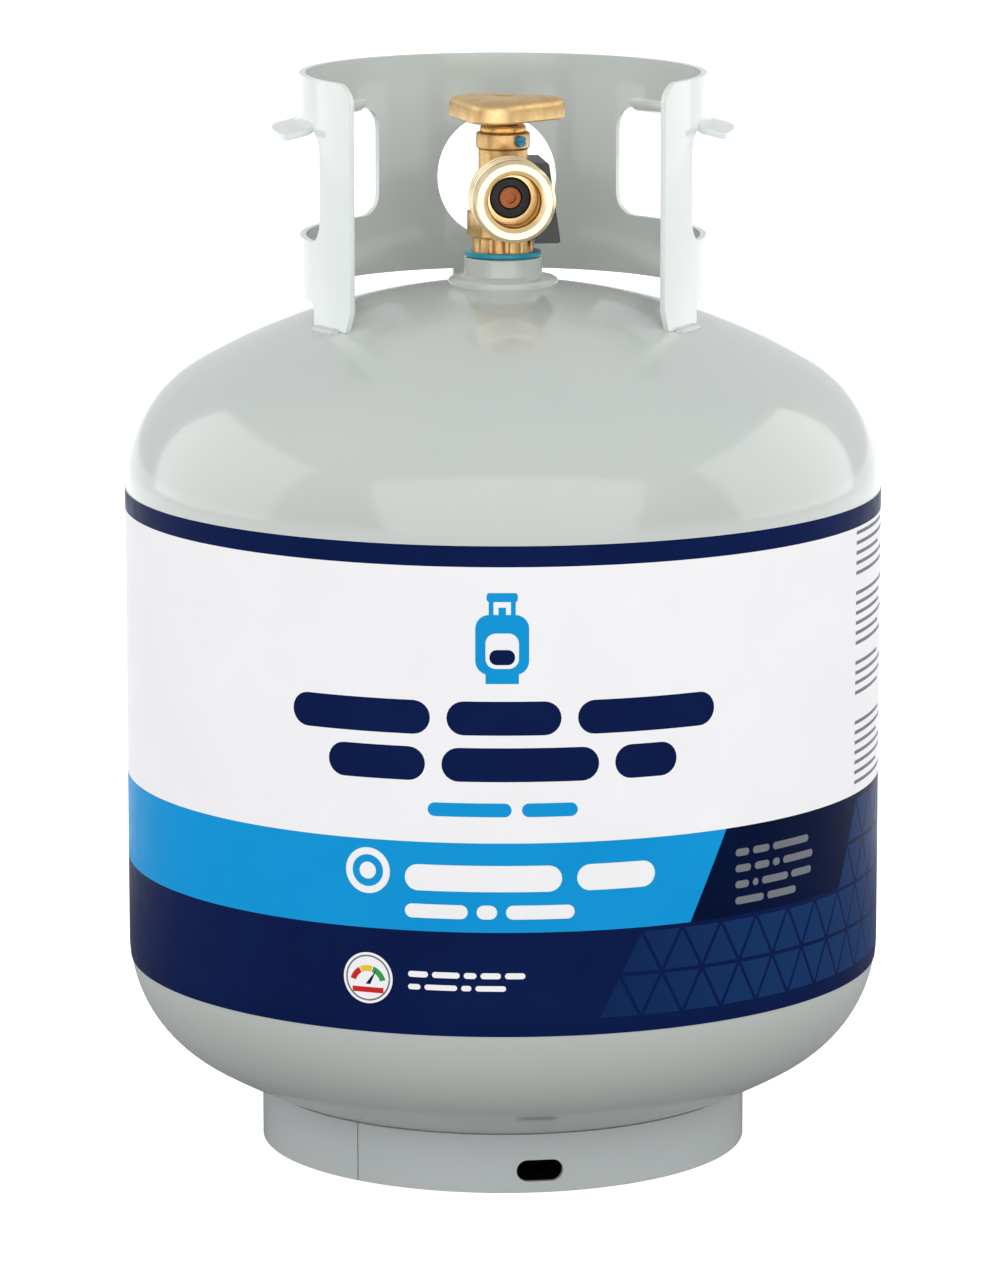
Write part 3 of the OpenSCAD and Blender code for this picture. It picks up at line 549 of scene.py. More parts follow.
def true_normals(piece):
    """Gives faces that follow a cylinder round the Z axis the exact normals of that cylinder."""
    mesh = piece.data
    smooth(mesh, 40)
    normals = [Vector(n.vector) for n in mesh.corner_normals]
    least_along, most_slope = 0.9985, 0.02
    for polygon in mesh.polygons:
        middle = Vector((polygon.center.x, polygon.center.y, 0)).normalized()
        along = polygon.normal.dot(middle)
        if abs(along) < least_along or abs(polygon.normal.z) > most_slope:
            continue
        side = 1 if along > 0 else -1
        for loop in polygon.loop_indices:
            at = mesh.vertices[mesh.loops[loop].vertex_index].co
            normals[loop] = Vector((at.x, at.y, 0)).normalized() * side
    mesh.normals_split_custom_set(normals)


def dress(name, material, rounding=0.0, least_turn=35.0):
    """Gives a CAD node its material, and softens its edges that turn more than least_turn degrees."""
    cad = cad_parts[name]
    cad.data.materials.clear()
    cad.data.materials.append(material)
    weld = cad.modifiers.new("join_faces", "WELD")
    weld.merge_threshold = 1e-6
    if rounding:
        round_edges(cad, rounding, 2, least_turn).harden_normals = True


# ---------------- shell


def head_arc(inset, upper=True):
    """(radius, height) points of a head from the axis to its tangent line, inset from the outside."""
    top = UPPER_TANGENT_Z
    join = math.degrees(math.atan2(CROWN_DROP, CORE_R))
    points = arc((0, top - CROWN_DROP), CROWN_R - inset, 90, join, 1.2)
    points += arc((CORE_R, top), KNUCKLE_R - inset, join, 0, 3)[1:]
    if not upper:
        points = [(r, LOWER_TANGENT_Z + UPPER_TANGENT_Z - z) for r, z in points]
    return points


def crown_z(radius, inset=0.0):
    """Height of the upper head's crown at a radius."""
    return CROWN_CENTRE_Z + math.sqrt((CROWN_R - inset) ** 2 - radius**2)


def head_outline(inset, hole_r):
    """The upper head's arc, started at the edge of its neck hole."""
    return [(hole_r, crown_z(hole_r, inset))] + [p for p in head_arc(inset) if p[0] > hole_r + 0.5]


def build_shell():
    """The two halves, the lower one folded in under the upper one as a backing for the girth weld."""
    hole_r = 16.0
    steps = 288
    outside = head_outline(0, hole_r) + [(TANK_R, JOINT_HIGH_Z)]
    inside = head_outline(WALL, hole_r) + [(TANK_R - WALL, JOINT_HIGH_Z)]
    upper = lathe("upper_shell_skin", outside + inside[::-1], SHELL_PAINT, steps)
    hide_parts("upper_shell")

    fold_high_z = node_box("lower_shell")[1].z
    slope_high_z, slope_low_z = JOINT_LOW_Z - 9, JOINT_LOW_Z - 12
    backing = TANK_R - WALL
    outside = head_arc(0, upper=False) + [
        (TANK_R, JOINT_LOW_Z),
        (backing, JOINT_LOW_Z),
        (backing, fold_high_z),
        (backing - WALL, fold_high_z),
        (backing - WALL, slope_high_z),
        (backing, slope_low_z),
    ]
    inside = head_arc(WALL, upper=False)
    lower = lathe("lower_shell_skin", outside + inside[::-1], SHELL_PAINT, steps)
    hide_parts("lower_shell")


def build_neck():
    """The bung, the weld that flares round it and the seal ring on it, with the dark joint under the ring."""
    bore_r, bung_r = 12.9, 16.0
    steps = 128
    low, high = node_box("neck_bung")
    outline = [(bore_r, low.z), (bung_r, low.z), (bung_r, high.z), (bore_r, high.z)]
    bung = lathe("neck_bung_turned", softened(outline, 0.8), SHELL_PAINT, steps)
    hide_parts("neck_bung")

    low, high = node_box("bung_weld")
    crest = high.z
    weld_r = (high.x - low.x) / 2
    outline = [
        (bung_r - 0.5, crest - 6),
        (weld_r, crown_z(weld_r) - 0.8),
        (weld_r, crest - 2.1),
        (weld_r - 1.5, crest - 1.2),
        (bung_r + 1.5, crest - 0.5),
        (bung_r - 0.5, crest),
    ]
    skirt = lathe("bung_weld_bead", softened(outline, 1.1, 4), SHELL_PAINT, steps)
    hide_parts("bung_weld")

    low, high = node_box("seal_ring")
    seal_r = (high.x - low.x) / 2
    joint_r, joint_h = seal_r - 1.2, 0.5
    outline = [(bore_r, low.z), (joint_r, low.z), (joint_r, low.z + joint_h), (seal_r, low.z + joint_h)]
    outline = softened(outline + [(seal_r, high.z), (bore_r, high.z)], 0.6)
    seal = lathe("seal_ring_moulded", outline, SEAL_PLASTIC, steps)
    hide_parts("seal_ring")


def weld_bead(name, radius, height, middle, half_angle, size):
    """A rippled bead along part of a circle round the tank's axis, with tapered ends.

    Angles are degrees from the front towards +X.
    """
    ripple_pitch, taper_l, step, sides = 2.4, 4.0, 0.45, 14
    length = 2 * math.radians(half_angle) * radius
    count = max(8, round(length / step))
    bm = bmesh.new()
    rings = []
    for i in range(count + 1):
        t = i / count
        ripple = abs(math.sin(math.pi * t * length / ripple_pitch))
        from_end = min(t, 1 - t) * length
        taper = math.sin(math.pi * from_end / (2 * taper_l)) if from_end < taper_l else 1.0
        girth = size * (0.9 + 0.1 * ripple) * max(0.25, taper)
        turn = math.radians(middle - half_angle + 2 * half_angle * t)
        ring = []
        for k in range(sides):
            angle = 2 * math.pi * k / sides
            r = radius + girth * math.cos(angle)
            z = height + girth * 0.8 * math.sin(angle)
            ring.append(bm.verts.new((r * math.sin(turn), -r * math.cos(turn), z)))
        rings.append(ring)
    close_tube(bm, rings)
    return new_piece(name, bm, "cylinder", [WELD_PAINT], 60)


# ---------------- collar and foot ring


def round_the_back(radius):
    """Surface function of a cylinder: x is the arc length from the back, y the height."""

    def surface(x, y):
        turn = x / radius
        outward = Vector((math.sin(turn), math.cos(turn), 0))
        return outward * radius + Vector((0, 0, y)), outward

    return surface


def collar_arc(degrees_from_front):
    """Arc length along the collar's outside, from the back."""
    return math.radians(180 - degrees_from_front) * COLLAR_R


def both_ends(points):
    """A run of points on the +X half, followed back to the -X half by its mirror image."""
    return points + [(-x, y) for x, y in reversed(points)]


def upright_lines(low_x, high_x, low_y, high_y, step):
    """Cuts a sheet into upright strips, so that it bends smoothly."""
    count = math.ceil((high_x - low_x) / step)
    for i in range(1, count):
        x = low_x + (high_x - low_x) * i / count
        yield (x, low_y), (x, high_y)


def collar_outline(foot_z, edge):
    """The unrolled collar's outline: its legs, its front corners and its level lower edges."""
    leg = collar_arc(FRONT_LEG_TO)
    rear_leg = math.radians(REAR_LEG_HALF) * COLLAR_R
    return both_ends(
        [
            (rear_leg, foot_z),
            (rear_leg, COLLAR_LOW_Z),
            (leg - LEG_CORNER, COLLAR_LOW_Z),
            (leg, COLLAR_LOW_Z - LEG_CORNER),
            (leg, foot_z),
            (edge - LEG_SLANT, foot_z),
            (edge, COLLAR_LOW_Z - 1),
            *arc((edge - CORNER_R, COLLAR_HIGH_Z - CORNER_R), CORNER_R, 0, 90, 7.5),
        ]
    )


def collar_holes():
    """The hand slots, the gaps in which the lips are rolled out, and the round hole at the back."""
    low, high = collar_arc(SLOT_TO), collar_arc(SLOT_FROM)
    slot = bar(low, SLOT_LOW_Z, high, SLOT_HIGH_Z, CORNER_R)
    low, high = collar_arc(SLOT_TO - LIP_MARGIN), collar_arc(SLOT_FROM + LIP_MARGIN)
    lip_gap = rectangle(low, SLOT_HIGH_Z - 2, high, LIP_ROOT_Z)
    holes = [slot, lip_gap, disc(0, REAR_HOLE_Z, REAR_HOLE_R, 4)]
    return holes + [[(-x, y) for x, y in reversed(hole)] for hole in (slot, lip_gap)]


def build_collar():
    """One bent sheet with its two rolled lips, and the welds at its feet."""
    foot_z = crown_z(COLLAR_R) + 0.2
    edge = collar_arc(OPENING_HALF)
    lines = upright_lines(-edge, edge, foot_z - 1, COLLAR_HIGH_Z + 1, 3.2)
    cut = cut_sheet(collar_outline(foot_z, edge), holes=collar_holes(), lines=lines)
    # The inner face takes the greyer copy of the collar paint, as painted shade.
    paint_and_shade = [COLLAR_PAINT, COLLAR_INSIDE_SHADE]
    surface = round_the_back(COLLAR_R)
    collar = bent_sheet("collar_sheet", cut, surface, COLLAR_T, paint_and_shade, 0.7, inside=1)
    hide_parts("collar")
    for side, name in ((1, "collar_lip_right"), (-1, "collar_lip_left")):
        build_lip(name, side)

    proud = 0.9
    outer_r, inner_r = COLLAR_R + proud, COLLAR_R - COLLAR_T - proud
    weld_z = crown_z(COLLAR_R) - 0.4
    for label, middle, half_angle in (("front_right", 61, 7.5), ("front_left", -61, 7.5), ("rear", 180, 12)):
        outer = weld_bead("collar_weld_" + label, outer_r, weld_z, middle, half_angle, 2.1)
        inner = weld_bead("collar_weld_inner_" + label, inner_r, weld_z + 0.9, middle, half_angle, 1.9)
        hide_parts("collar_welds")
        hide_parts("collar_welds")


def build_lip(name, side):
    """The sheet rolled outwards over a hand slot. Flat, x runs along the collar and y down the lip."""
    start = collar_arc(SLOT_TO - LIP_MARGIN)
    end = collar_arc(SLOT_FROM + LIP_MARGIN)
    if side < 0:
        start, end = -end, -start
    bend = math.radians(90 - LIP_SLOPE)
    bend_l = bend * (LIP_BEND_R + COLLAR_T / 2)
    flat_l = 8.4
    tip_corner = 3
    tab = 2.0
    inset = 0.05
    sheet_t = COLLAR_T - 2 * inset
    length = bend_l + flat_l
    outline = [
        (start, -tab),
        (end, -tab),
        *arc((end - tip_corner, length - tip_corner), tip_corner, 0, 90, 10),
        *arc((start + tip_corner, length - tip_corner), tip_corner, 90, 180, 10),
    ]
    inner_r = LIP_BEND_R - COLLAR_T / 2 + inset
    centre_r = COLLAR_R + inner_r - inset

    def surface(x, y):
        """The lower, inner face of the rolled sheet, whose normal points at the bend's outside."""
        turn = x / COLLAR_R
        outer_r = inner_r + sheet_t
        swing = min(max(y / (LIP_BEND_R + COLLAR_T / 2), 0), bend)
        over = max(y - bend_l, 0)
        away = (-math.cos(swing), -math.sin(swing))
        ahead = (math.sin(swing), -math.cos(swing))
        r = centre_r + outer_r * away[0] + over * ahead[0]
        z = LIP_ROOT_Z + outer_r * away[1] + over * ahead[1] - min(y, 0)
        outward = Vector((math.sin(turn), math.cos(turn), 0))
        point = outward * r + Vector((0, 0, z))
        return point, outward * away[0] + Vector((0, 0, away[1]))

    lines = list(upright_lines(start, end, -tab - 1, length + 1, 3.2))
    folds = 12
    lines += [((start - 1, bend_l * i / folds), (end + 1, bend_l * i / folds)) for i in range(folds + 1)]
    cut = cut_sheet(outline, lines=lines)
    lip = bent_sheet(name, cut, surface, sheet_t, [COLLAR_PAINT], 0.7)
    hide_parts("collar")


def build_foot_ring():
    """A strip bent to a ring, with a fine gap at its butt seam and three drain slots."""
    seam = math.radians(180 - FOOT_SEAM_AT) * FOOT_R
    seam_half_w = 0.25
    low_x = seam - 2 * math.pi * FOOT_R + seam_half_w
    high_x = seam - seam_half_w
    outline = rectangle(low_x, 0, high_x, FOOT_HIGH_Z)
    low_z, high_z = DRAIN_Z - DRAIN_H / 2, DRAIN_Z + DRAIN_H / 2
    holes = []
    for angle in DRAIN_SLOTS_AT:
        middle = math.radians(180 - angle) * FOOT_R
        holes.append(bar(middle - DRAIN_W / 2, low_z, middle + DRAIN_W / 2, high_z))
    lines = upright_lines(low_x, high_x, -1, FOOT_HIGH_Z + 1, 3.5)
    cut = cut_sheet(outline, holes=holes, lines=lines)
    surface = round_the_back(FOOT_R)
    ring = bent_sheet("foot_ring_sheet", cut, surface, FOOT_T, [FOOT_PAINT], 0.6)
    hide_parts("foot_ring")


# ---------------- label


HALF_TURN = math.pi * TANK_R


def tank_radius(z):
    """Radius of the tank's outside at a height within or near its straight part."""
    below = max(LOWER_TANGENT_Z - z, 0, z - UPPER_TANGENT_Z)
    return CORE_R + math.sqrt(KNUCKLE_R**2 - below**2)


def label_surface(x, y):
    """x is the arc length from the front towards +X, y the height."""
    turn = x / TANK_R
    outward = Vector((math.sin(turn), -math.cos(turn), 0))
    return outward * (tank_radius(y) + LABEL_T) + Vector((0, 0, y)), outward


def word_bars(left, low, high, widths, gap):
    """Plain bars in a row, where printed words would stand."""
    bars = []
    for width in widths:
        bars.append(bar(left, low, left + width, high))
        left += width + gap
    return bars


def lattice_triangles(side, row_h, low, rows, start, end, inset):
    """Triangles in rows, each drawn smaller than its cell, so that dark lines stay between them."""
    for row in range(rows):
        base = low + row * row_h
        shift = (row % 2) * side / 2
        count = math.floor((end - start) / side)
        for i in range(count):
            x = start + i * side + shift
            upward = [(x, base), (x + side, base), (x + side / 2, base + row_h)]
            downward = [(x + side, base), (x + side * 1.5, base + row_h), (x + side / 2, base + row_h)]
            for corners in (upward, downward):
                centre = sum((Vector(c) for c in corners), Vector((0, 0))) / 3
                yield [tuple(centre + (Vector(c) - centre) * (1 - inset)) for c in corners]


def cylinder_icon(x, low, width, height):
    """Outlines of a plain gas cylinder pictogram: body, foot, collar posts and collar bar."""
    half = width / 2
    body_low = low + height * 0.1
    body_high = low + height * 0.76
    post_w = width * 0.09
    return [
        bar(x - half, body_low, x + half, body_high, width * 0.26),
        rectangle(x - half * 0.62, low, x + half * 0.62, body_low + 1.5),
        rectangle(x - half * 0.5, body_high - 1, x - half * 0.5 + post_w, low + height * 0.96),
        rectangle(x + half * 0.5 - post_w, body_high - 1, x + half * 0.5, low + height * 0.96),
        bar(x - half * 0.58, low + height * 0.9, x + half * 0.58, low + height, 1.2),
        rectangle(x - half * 0.14, body_high - 1, x + half * 0.14, low + height * 0.84),
    ]


def printed(film, outlines):
    """A layer of one film for each outline."""
    return [(film, outline) for outline in outlines]


def band_layers():
    """Navy rims, and the bright band round the left of the tank with the dark panel round the rest."""
    top_rim_z = 266.1
    band_low, band_high = 120.7, 156.5
    slant_low, slant_high = 71.6, 88.4
    bright_end = -330
    bright = [
        (bright_end, band_low),
        (slant_low, band_low),
        (slant_high, band_high),
        (bright_end + slant_high - slant_low, band_high),
    ]
    layers = [
        (NAVY, rectangle(-HALF_TURN, top_rim_z, HALF_TURN, LABEL_HIGH_Z)),
        (NAVY, rectangle(-HALF_TURN, LABEL_LOW_Z, HALF_TURN, band_low)),
        (DEEP, rectangle(-HALF_TURN, band_low, HALF_TURN, band_high)),
        (BLUE, bright),
    ]
    side, row_h, low = 18.0, 17.6, 84.5
    for base, start in ((low, 32), (low + 2 * row_h, 158)):
        layers += printed(LATTICE, lattice_triangles(side, row_h, base, 2, start, 330, 0.13))
    return layers


def heading_layers():
    """A plain gas cylinder over three rows of bars."""
    middle = -5.7
    layers = printed(BLUE, cylinder_icon(middle, 220, 21, 36))
    layers.append((WHITE, bar(middle - 6.5, 226, middle + 6.5, 240, 4)))
    layers.append((NAVY, bar(middle - 5, 227.5, middle + 5, 233.5, 2.8)))
    layers += printed(NAVY, word_bars(left=-92, low=199.5, high=213, widths=(58, 45, 58), gap=6.5))
    layers += printed(NAVY, word_bars(left=-76, low=181, high=194.5, widths=(40, 62, 26), gap=6.5))
    layers += printed(BLUE, word_bars(left=-35, low=167, high=172.5, widths=(33, 22), gap=4))
    return layers


def product_layers():
    """A ring and two rows of bars on the bright band."""
    rings = ((WHITE, 9.2), (BLUE, 6.4), (WHITE, 3.4))
    layers = [(film, disc(-59.5, 143.8, radius)) for film, radius in rings]
    layers += printed(WHITE, word_bars(left=-44.2, low=137, high=147.5, widths=(62, 32), gap=6))
    layers += printed(WHITE, word_bars(left=-44.2, low=126, high=131.6, widths=(25, 8, 27), gap=3.5))
    return layers


def gauge_layers():
    """A small picture of a dial, and two short lines beside it."""
    x, z = -59.6, 100.4
    dial_z = z - 2.5
    layers = [(WHITE, disc(x, z, 10.3)), (GREY, arc_band(x, z, 8.6, 9.3, 0, 359))]
    for film, start, end in ((RED, 120, 165), (YELLOW, 75, 117), (GREEN, 15, 72)):
        layers.append((film, arc_band(x, dial_z, 5.2, 7.6, start, end)))
    layers.append((RED, rectangle(x - 6.5, dial_z - 3.4, x + 6.5, dial_z - 1.2)))
    layers.append((NAVY, [(x - 1, dial_z), (x + 1, dial_z), (x + 3.6, dial_z + 6)]))
    layers += printed(WHITE, word_bars(left=-43, low=102, high=104.4, widths=(8, 11, 5, 8, 8), gap=1.6))
    layers += printed(WHITE, word_bars(left=-43, low=97, high=99.2, widths=(5, 13, 4, 12), gap=1.6))
    return layers


def side_print_layers():
    """Four short lines on the dark panel, and a column of fine print at the side."""
    layers = []
    for low, widths in ((144.5, (7, 9, 22)), (138, (8, 8, 4, 19)), (131.5, (7, 3, 15, 13)), (125, (15, 17))):
        layers += printed(GREY, word_bars(93, low, low + 3, widths, 2))
    left, high, pitch, thick = 174, 263, 4.1, 1.5
    blank_lines = (5, 12, 17, 18)
    for i in range(26):
        if i in blank_lines:
            continue
        low = high - i * pitch
        reach = 44 + 9 * math.sin(i * 2.3)
        layers.append((GREY, rectangle(left, low, left + reach, low + thick)))
    return layers


def back_print_layers():
    """Blocks of fine print on the back, in columns on each side of the label's seam."""
    layers = []
    high, pitch, thick = 238, 3.6, 1.4
    for column, (left, lines) in enumerate(((262, 17), (338, 21), (-448, 21), (-372, 15))):
        layers.append((NAVY, bar(left, 246, left + 40, 253)))
        for i in range(lines):
            low = high - i * pitch
            last_of_block = 28 if i % 6 == 5 else 0
            reach = 60 - 9 * abs(math.sin(i * 1.7 + column)) - last_of_block
            layers.append((GREY, rectangle(left, low, left + reach, low + thick)))
    return layers


def build_label():
    """One printed sleeve. Its layers run from the bottom one to the top one."""
    outline = rectangle(-HALF_TURN, LABEL_LOW_Z, HALF_TURN, LABEL_HIGH_Z)
    lines = list(upright_lines(-HALF_TURN, HALF_TURN, LABEL_LOW_Z - 1, LABEL_HIGH_Z + 1, 5.4))
    lines += [((-HALF_TURN - 1, z), (HALF_TURN + 1, z)) for z in (80, 81.5, 83, 84.5, LOWER_TANGENT_Z)]
    layers = band_layers() + heading_layers() + product_layers()
    layers += gauge_layers() + side_print_layers() + back_print_layers()
    cut = cut_sheet(outline, layers=layers, lines=lines)
    label = bent_sheet("label_film_sheet", cut, label_surface, LABEL_T - 0.02, FILMS)
    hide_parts("label")


# ---------------- valve


def wheel_ring(inset, z):
    """Points of the wheel's outline, inset from its edge."""
    r = WHEEL_CORNER_R - inset
    points = []
    for i in range(3):
        for step in range(-60, 61, 5):
            at = WHEEL_TURN + math.radians(i * 120)
            lean = at + math.radians(step)
            x = WHEEL_CORNER_AT * math.cos(at) + r * math.cos(lean)
            points.append((x, WHEEL_CORNER_AT * math.sin(at) + r * math.sin(lean), z))
    return points


def wheel_levels(low_z, high_z):
    """(inset, height) from the wheel's lower edge, over its soft upper edge, to the top of its crown."""
    low_edge, high_edge, crown_h = 1.4, 3.4, 4.2
    levels = []
    for degrees in range(0, 91, 15):
        a = math.radians(degrees)
        levels.append((low_edge * (1 - math.sin(a)), low_z + low_edge * (1 - math.cos(a))))
    for degrees in range(0, 76, 15):
        a = math.radians(degrees)
        levels.append((high_edge * (1 - math.cos(a)), high_z - crown_h + high_edge * math.sin(a)))
    return levels + [(4.6, high_z - 0.5), (7.0, high_z - 0.2), (9.4, high_z)]


def build_handwheel():
    """Three round corners joined by straight sides, with a hub below and a recess for the screw on top."""
    low, high = node_box("handwheel")
    wheel_low = high.z - WHEEL_T
    bore_r, bore_high = 3.5, high.z - 2.6
    bm = bmesh.new()
    rings = [[bm.verts.new(p) for p in wheel_ring(inset, z)] for inset, z in wheel_levels(wheel_low, high.z)]
    join_rings(bm, rings)
    hub = [
        (9.0, wheel_low),
        (8.6, wheel_low - 0.4),
        (6.6, low.z + 0.2),
        (6.2, low.z),
        (bore_r, low.z),
        (bore_r, bore_high),
    ]
    recess = [(5.6, high.z), (5.15, high.z - 0.3), (5, high.z - 0.7), (5, bore_high), (bore_r, bore_high)]
    close_with_hub(bm, rings[0], hub)
    close_with_hub(bm, rings[-1][::-1], recess)
    bmesh.ops.remove_doubles(bm, verts=bm.verts, dist=MERGE_DIST)
    wheel = new_piece("handwheel_cast", bm, "handwheel", [WHEEL_METAL], 40)
    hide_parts("handwheel")


def close_with_hub(bm, rim, profile):
    """Joins a flat rim to a round profile about the Z axis, ring by ring."""
    turns = [math.atan2(v.co.y, v.co.x) for v in rim]
    last = rim
    for r, z in profile:
        ring = [bm.verts.new((r * math.cos(t), r * math.sin(t), z)) for t in turns]
        join_rings(bm, (ring, last))
        last = ring


def helix_spring(name, place, low, high, radius, wire, turns, joint, anchor_at, keep):
    """A round-wire spring along the Z axis of place. joint and anchor_at are not used."""
    bm = bmesh.new()
    rings = []
    steps, sides = turns * 28, 8
    low, high = low + wire, high - wire
    for i in range(steps + 1):
        t = i / steps
        turn = 2 * math.pi * turns * t
        z = low + (high - low) * t
        outward = Vector((math.cos(turn), math.sin(turn), 0))
        middle = outward * radius + Vector((0, 0, z))
        ring = []
        for k in range(sides):
            a = 2 * math.pi * k / sides
            ring.append(bm.verts.new(middle + wire * (outward * math.cos(a) + Vector((0, 0, math.sin(a))))))
        rings.append(ring)
    close_tube(bm, rings)
    spring = new_piece(name, bm, "cylinder", [SPRING_STEEL], 60, place)
    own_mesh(spring)
    return spring


def build_socket_thread():
    """The fine thread inside the outlet, 14 to the inch, drawn as rings."""
    wall_r, root_r, crest_r = 11.3, 11.1, 10.5
    first, last, pitch = 26.2, 38.0, 25.4 / 14
    outline = [(wall_r, first)]
    for i in range(int((last - first) / pitch)):
        outline += [(root_r, first + i * pitch), (crest_r, first + (i + 0.5) * pitch)]
    outline += [(root_r, last), (wall_r, last)]
    lathe("outlet_socket_thread", outline, RIM_BRASS, 96, ON_OUTLET, 20)


def build_springs():
    """The springs of the check piston and the relief poppet."""
    sizes = {"low": 9.02, "high": 17.9, "radius": 4.6, "wire": 0.45, "turns": 5}
    squeeze = {"joint": "check_piston_slide", "anchor_at": 9.0, "keep": 0.55}
    check = helix_spring("check_spring_coil", ON_OUTLET, **sizes, **squeeze)
    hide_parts("check_spring")
    sizes = {"low": 14.9, "high": 19.95, "radius": 3.1, "wire": 0.4, "turns": 4}
    squeeze = {"joint": "relief_poppet_slide", "anchor_at": 20.0, "keep": 0.6}
    relief = helix_spring("relief_spring_coil", ON_RELIEF, **sizes, **squeeze)
    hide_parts("relief_spring")


def build_valve():
    """The valve's pieces that the CAD doesn't show as well."""
    build_socket_thread()
    build_handwheel()
    build_springs()
    build_dial()


def build_dial():
    """The printed dial. In its own frame +X points down the face and +Y to the valve's back."""
    dial_r, low, high = 12.15, -3.4, -2.9
    scale_from, ticks, tick_turn = 112, 11, 13.6
    films = [FILMS[WHITE], FILMS[GREEN], FILMS[YELLOW], FILMS[RED], RUBBER]
    _, green, yellow, red, black = range(len(films))
    layers = [
        (red, arc_band(0, 0, 8.2, 10.6, 214, 248)),
        (yellow, arc_band(0, 0, 8.2, 10.6, 190, 213)),
        (green, arc_band(0, 0, 8.2, 10.6, scale_from, 189)),
        (black, arc_band(0, 0, 11.2, 11.5, 0, 359.5)),
    ]
    for i in range(ticks):
        long_tick = i % 5 == 0
        inner, outer = (6.6, 8) if long_tick else (7.3, 8)
        turn = math.radians(scale_from + tick_turn * i)
        along = Vector((math.cos(turn), math.sin(turn)))
        across = Vector((-along.y, along.x)) * (0.22 if long_tick else 0.12)
        start, end = along * inner, along * outer
        corners = (start - across, end - across, end + across, start + across)
        layers.append((black, [tuple(c) for c in corners]))
    cut = cut_sheet(disc(0, 0, dial_r, 3), layers=layers)

    def surface(x, y):
        at = ON_GAUGE @ Vector((x, y, high))
        return at, ON_GAUGE.to_3x3() @ Vector((0, 0, 1))

    dial = bent_sheet("gauge_dial_printed", cut, surface, high - low, films)
    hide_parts("gauge_dial")


# ---------------- the CAD's own pieces


# Node, material, how far its edges are rounded, and the least turn in degrees of an edge that is
DRESSED = (
    ("girth_weld", WELD_STEEL),
    ("foot_ring_welds", WELD_PAINT, 0.5),
    ("valve_body", BRASS, 0.25, 40),
    ("bonnet", STEM_BRASS, 0.2),
    ("upper_stem", STEM_BRASS, 0.2),
    ("stem_o_ring", RUBBER),
    ("handwheel_screw", STEEL, 0.15),
    ("seat_plug", STEM_BRASS, 0.15),
    ("seat_disc", RUBBER, 0.15),
    ("outlet_retainer", RIM_BRASS, 0.15),
    ("outlet_seal", RUBBER, 0.2),
    ("check_piston", COPPERY, 0.2),
    ("bleed_screw", BLEED_BLUE, 0.15),
    ("dip_tube", WHITE_PLASTIC, 0.1),
    ("relief_cap", RIM_BRASS, 0.2),
    ("relief_poppet", STEM_BRASS, 0.15),
    ("relief_seal", RUBBER),
    ("opd_housing", WHITE_PLASTIC, 0.3),
    ("opd_piston", BLACK_PLASTIC, 0.2),
    ("opd_piston_seal", RUBBER, 0.15),
    ("float_arm", BLACK_PLASTIC, 0.2),
    ("float_pin", STEEL, 0.15),
    ("float", FOAM, 1.2),
    ("gauge_rod", STEEL, 0.1),
    ("rod_magnet", MAGNET, 0.15),
    ("gauge_housing", BLACK_PLASTIC, 0.5, 30),
    ("gauge_pointer", POINTER_RED, 0.08),
    ("gauge_lens", CLEAR, 0.2),
    ("gauge_screws", STEEL, 0.15),
)


# ---------------- studio


def grey(level):
    """A linear grey."""
    return (level, level, level, 1)


def floor_sheet(name, height, level, glow, hidden_from=(), radius=30.0, hole=0.0):
    """A round sheet of grey paper, height metres above the tank's foot, that some kinds of ray don't see."""
    bm = bmesh.new()
    bmesh.ops.create_circle(bm, cap_ends=not hole, segments=96, radius=radius)
    if hole:
        bmesh.ops.create_circle(bm, cap_ends=False, segments=96, radius=hole)
        bmesh.ops.bridge_loops(bm, edges=bm.edges[:])
        bmesh.ops.recalc_face_normals(bm, faces=bm.faces[:])
    mesh = bpy.data.meshes.new(name)
    bm.to_mesh(mesh)
    bm.free()
    mat, shader, place = start_material(name + "_paper", {"Specular IOR Level": 0.0, "Roughness": 0.9})
    drift = spread(noise(place, 800, 2), 0, 1)
    tint = blend_colours(drift, grey(level), grey(level * 0.98))
    feed(shader, {"Base Color": tint, "Emission Color": grey(1), "Emission Strength": glow})
    mesh.materials.append(mat)
    sheet = bpy.data.objects.new(name, mesh)
    bpy.context.scene.collection.objects.link(sheet)
    sheet.location.z = CAD_BOX[0][2] + height
    for ray in hidden_from:
        setattr(sheet, "visible_" + ray, False)


def build_floor():
    """A white floor that is only seen, a white far part that is only mirrored, and a greyer one that lights.

    The near-black disc under the tank is painted shade, which keeps the drain slots dark.
    """
    unlit = ("diffuse", "transmission", "shadow")
    white, glow = 0.92, 0.7
    floor_sheet("floor", -0.0002, white, glow, ("glossy", *unlit))
    floor_sheet("far_floor", -0.0003, white, glow, ("camera", *unlit), hole=0.6)
    floor_sheet("bounce_floor", -0.0004, 0.42, 0.0, ("camera",))
    # A near-black disc inside the foot ring: painted shade under the tank.
    floor_sheet("foot_shade", -0.0001, 0.02, 0.0, radius=(FOOT_R - 4) * MM)


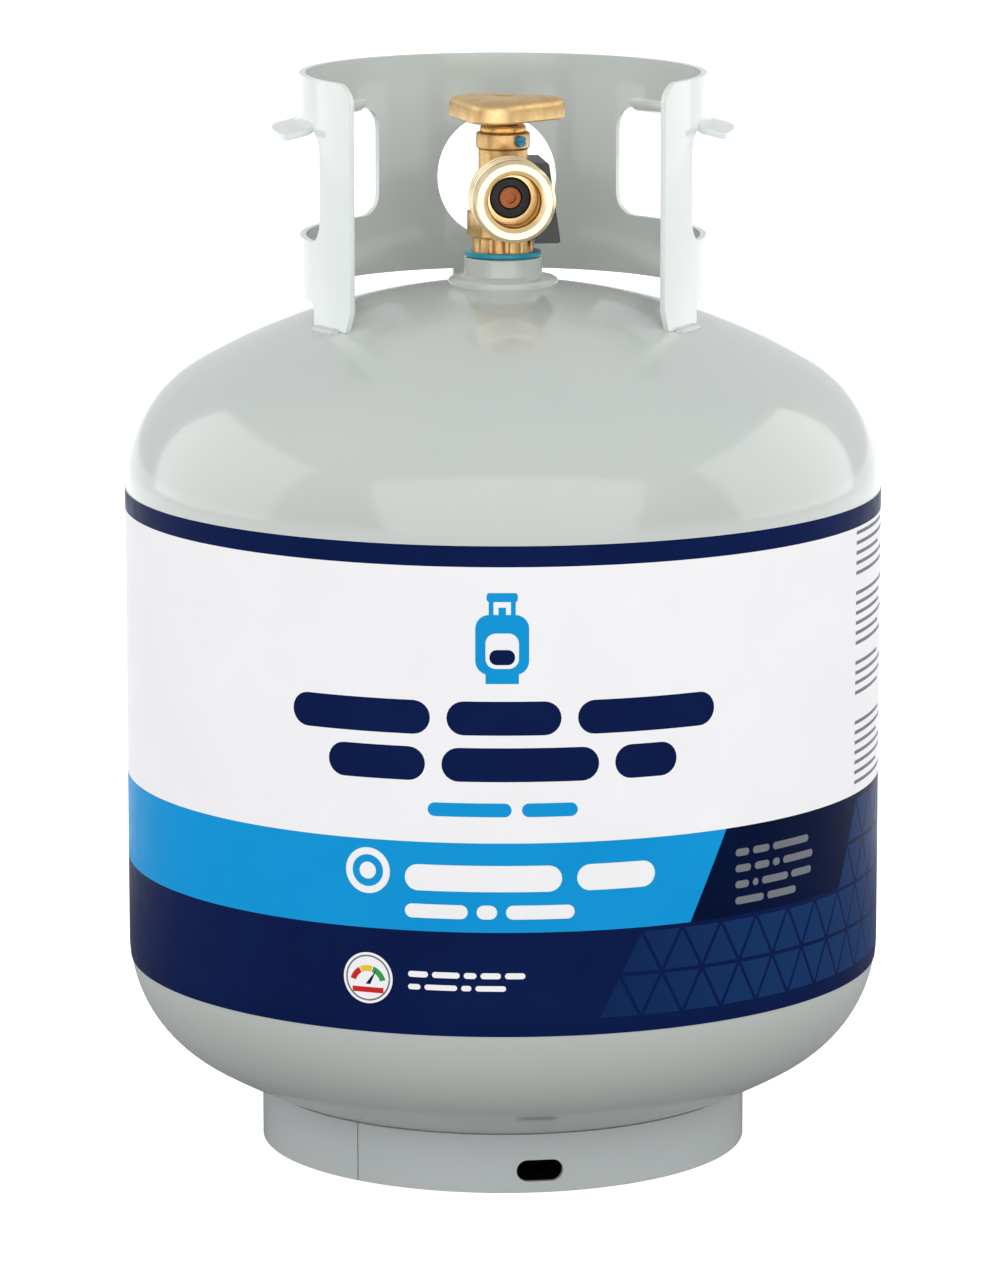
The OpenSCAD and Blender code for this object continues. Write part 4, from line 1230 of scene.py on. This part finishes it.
def softbox(name, place, target, width, height, radiance):
    """A rectangular area light at place, pointed at target, of one radiance over its whole face."""
    data = bpy.data.lights.new(name, "AREA")
    data.shape = "RECTANGLE"
    data.size = width
    data.size_y = height
    data.energy = radiance * math.pi * width * height
    lamp = bpy.data.objects.new(name, data)
    bpy.context.scene.collection.objects.link(lamp)
    lamp.location = place
    lamp.rotation_euler = (Vector(target) - Vector(place)).to_track_quat("-Z", "Y").to_euler()
    lamp.visible_camera = False


def build_world():
    """A soft grey room that is brightest low down behind the tank and darkest low down in front."""
    low_front, low_behind, overhead = (0.46, 0.47, 0.48, 1), (0.94, 0.96, 0.98, 1), (0.72, 0.74, 0.76, 1)
    world = bpy.data.worlds.new("studio")
    bpy.context.scene.world = world
    world.use_nodes = True
    tree = world.node_tree
    way = axes(add(tree, "TexCoord", {}).outputs["Generated"])
    rise = spread(way["Z"], 0, 1, -0.1, 0.9)
    behind = spread(way["Y"], 0, 1, -0.9, 0.3)
    low = blend_colours(behind, low_front, low_behind)
    room = blend_colours(rise, low, overhead)
    feed(tree.nodes["Background"], {"Color": room, "Strength": 0.85})


def build_lights():
    """A soft room, and three softboxes. Each has a place, a width, a height and a radiance."""
    build_world()
    middle = (0, 0, 0.25)
    panels = (
        ("left_softbox", (-2.3, 0.5, 1.05), 2.8, 2.0, 1.3),
        ("right_softbox", (2.3, 0.4, 1.05), 2.8, 2.0, 1.35),
        ("front_softbox", (0.0, -2.9, 1.35), 5.0, 2.7, 1.62),
    )
    for name, place, width, height, radiance in panels:
        softbox(name, place, middle, width, height, radiance)


def build_camera():
    """A long lens a little left of the front, looking slightly down."""
    data = bpy.data.cameras.new("camera")
    camera = bpy.data.objects.new("camera", data)
    bpy.context.scene.collection.objects.link(camera)
    data.sensor_width = 36
    data.lens = 183.0
    distance, height = 2.607, 0.697
    azimuth, pitch, aside = math.radians(-2), math.radians(10.54), math.radians(0.027)
    camera.location = (distance * math.sin(azimuth), -distance * math.cos(azimuth), height)
    yaw = -azimuth - aside
    ahead = Vector((math.sin(yaw) * math.cos(pitch), math.cos(yaw) * math.cos(pitch), -math.sin(pitch)))
    camera.rotation_euler = ahead.to_track_quat("-Z", "Y").to_euler()
    bpy.context.scene.camera = camera


build_camera()
build_shell()
build_neck()
build_collar()
build_foot_ring()
build_label()
build_valve()
for wear in DRESSED:
    dress(*wear)
build_floor()
build_lights()
bpy.context.scene.view_settings.view_transform = "Standard"
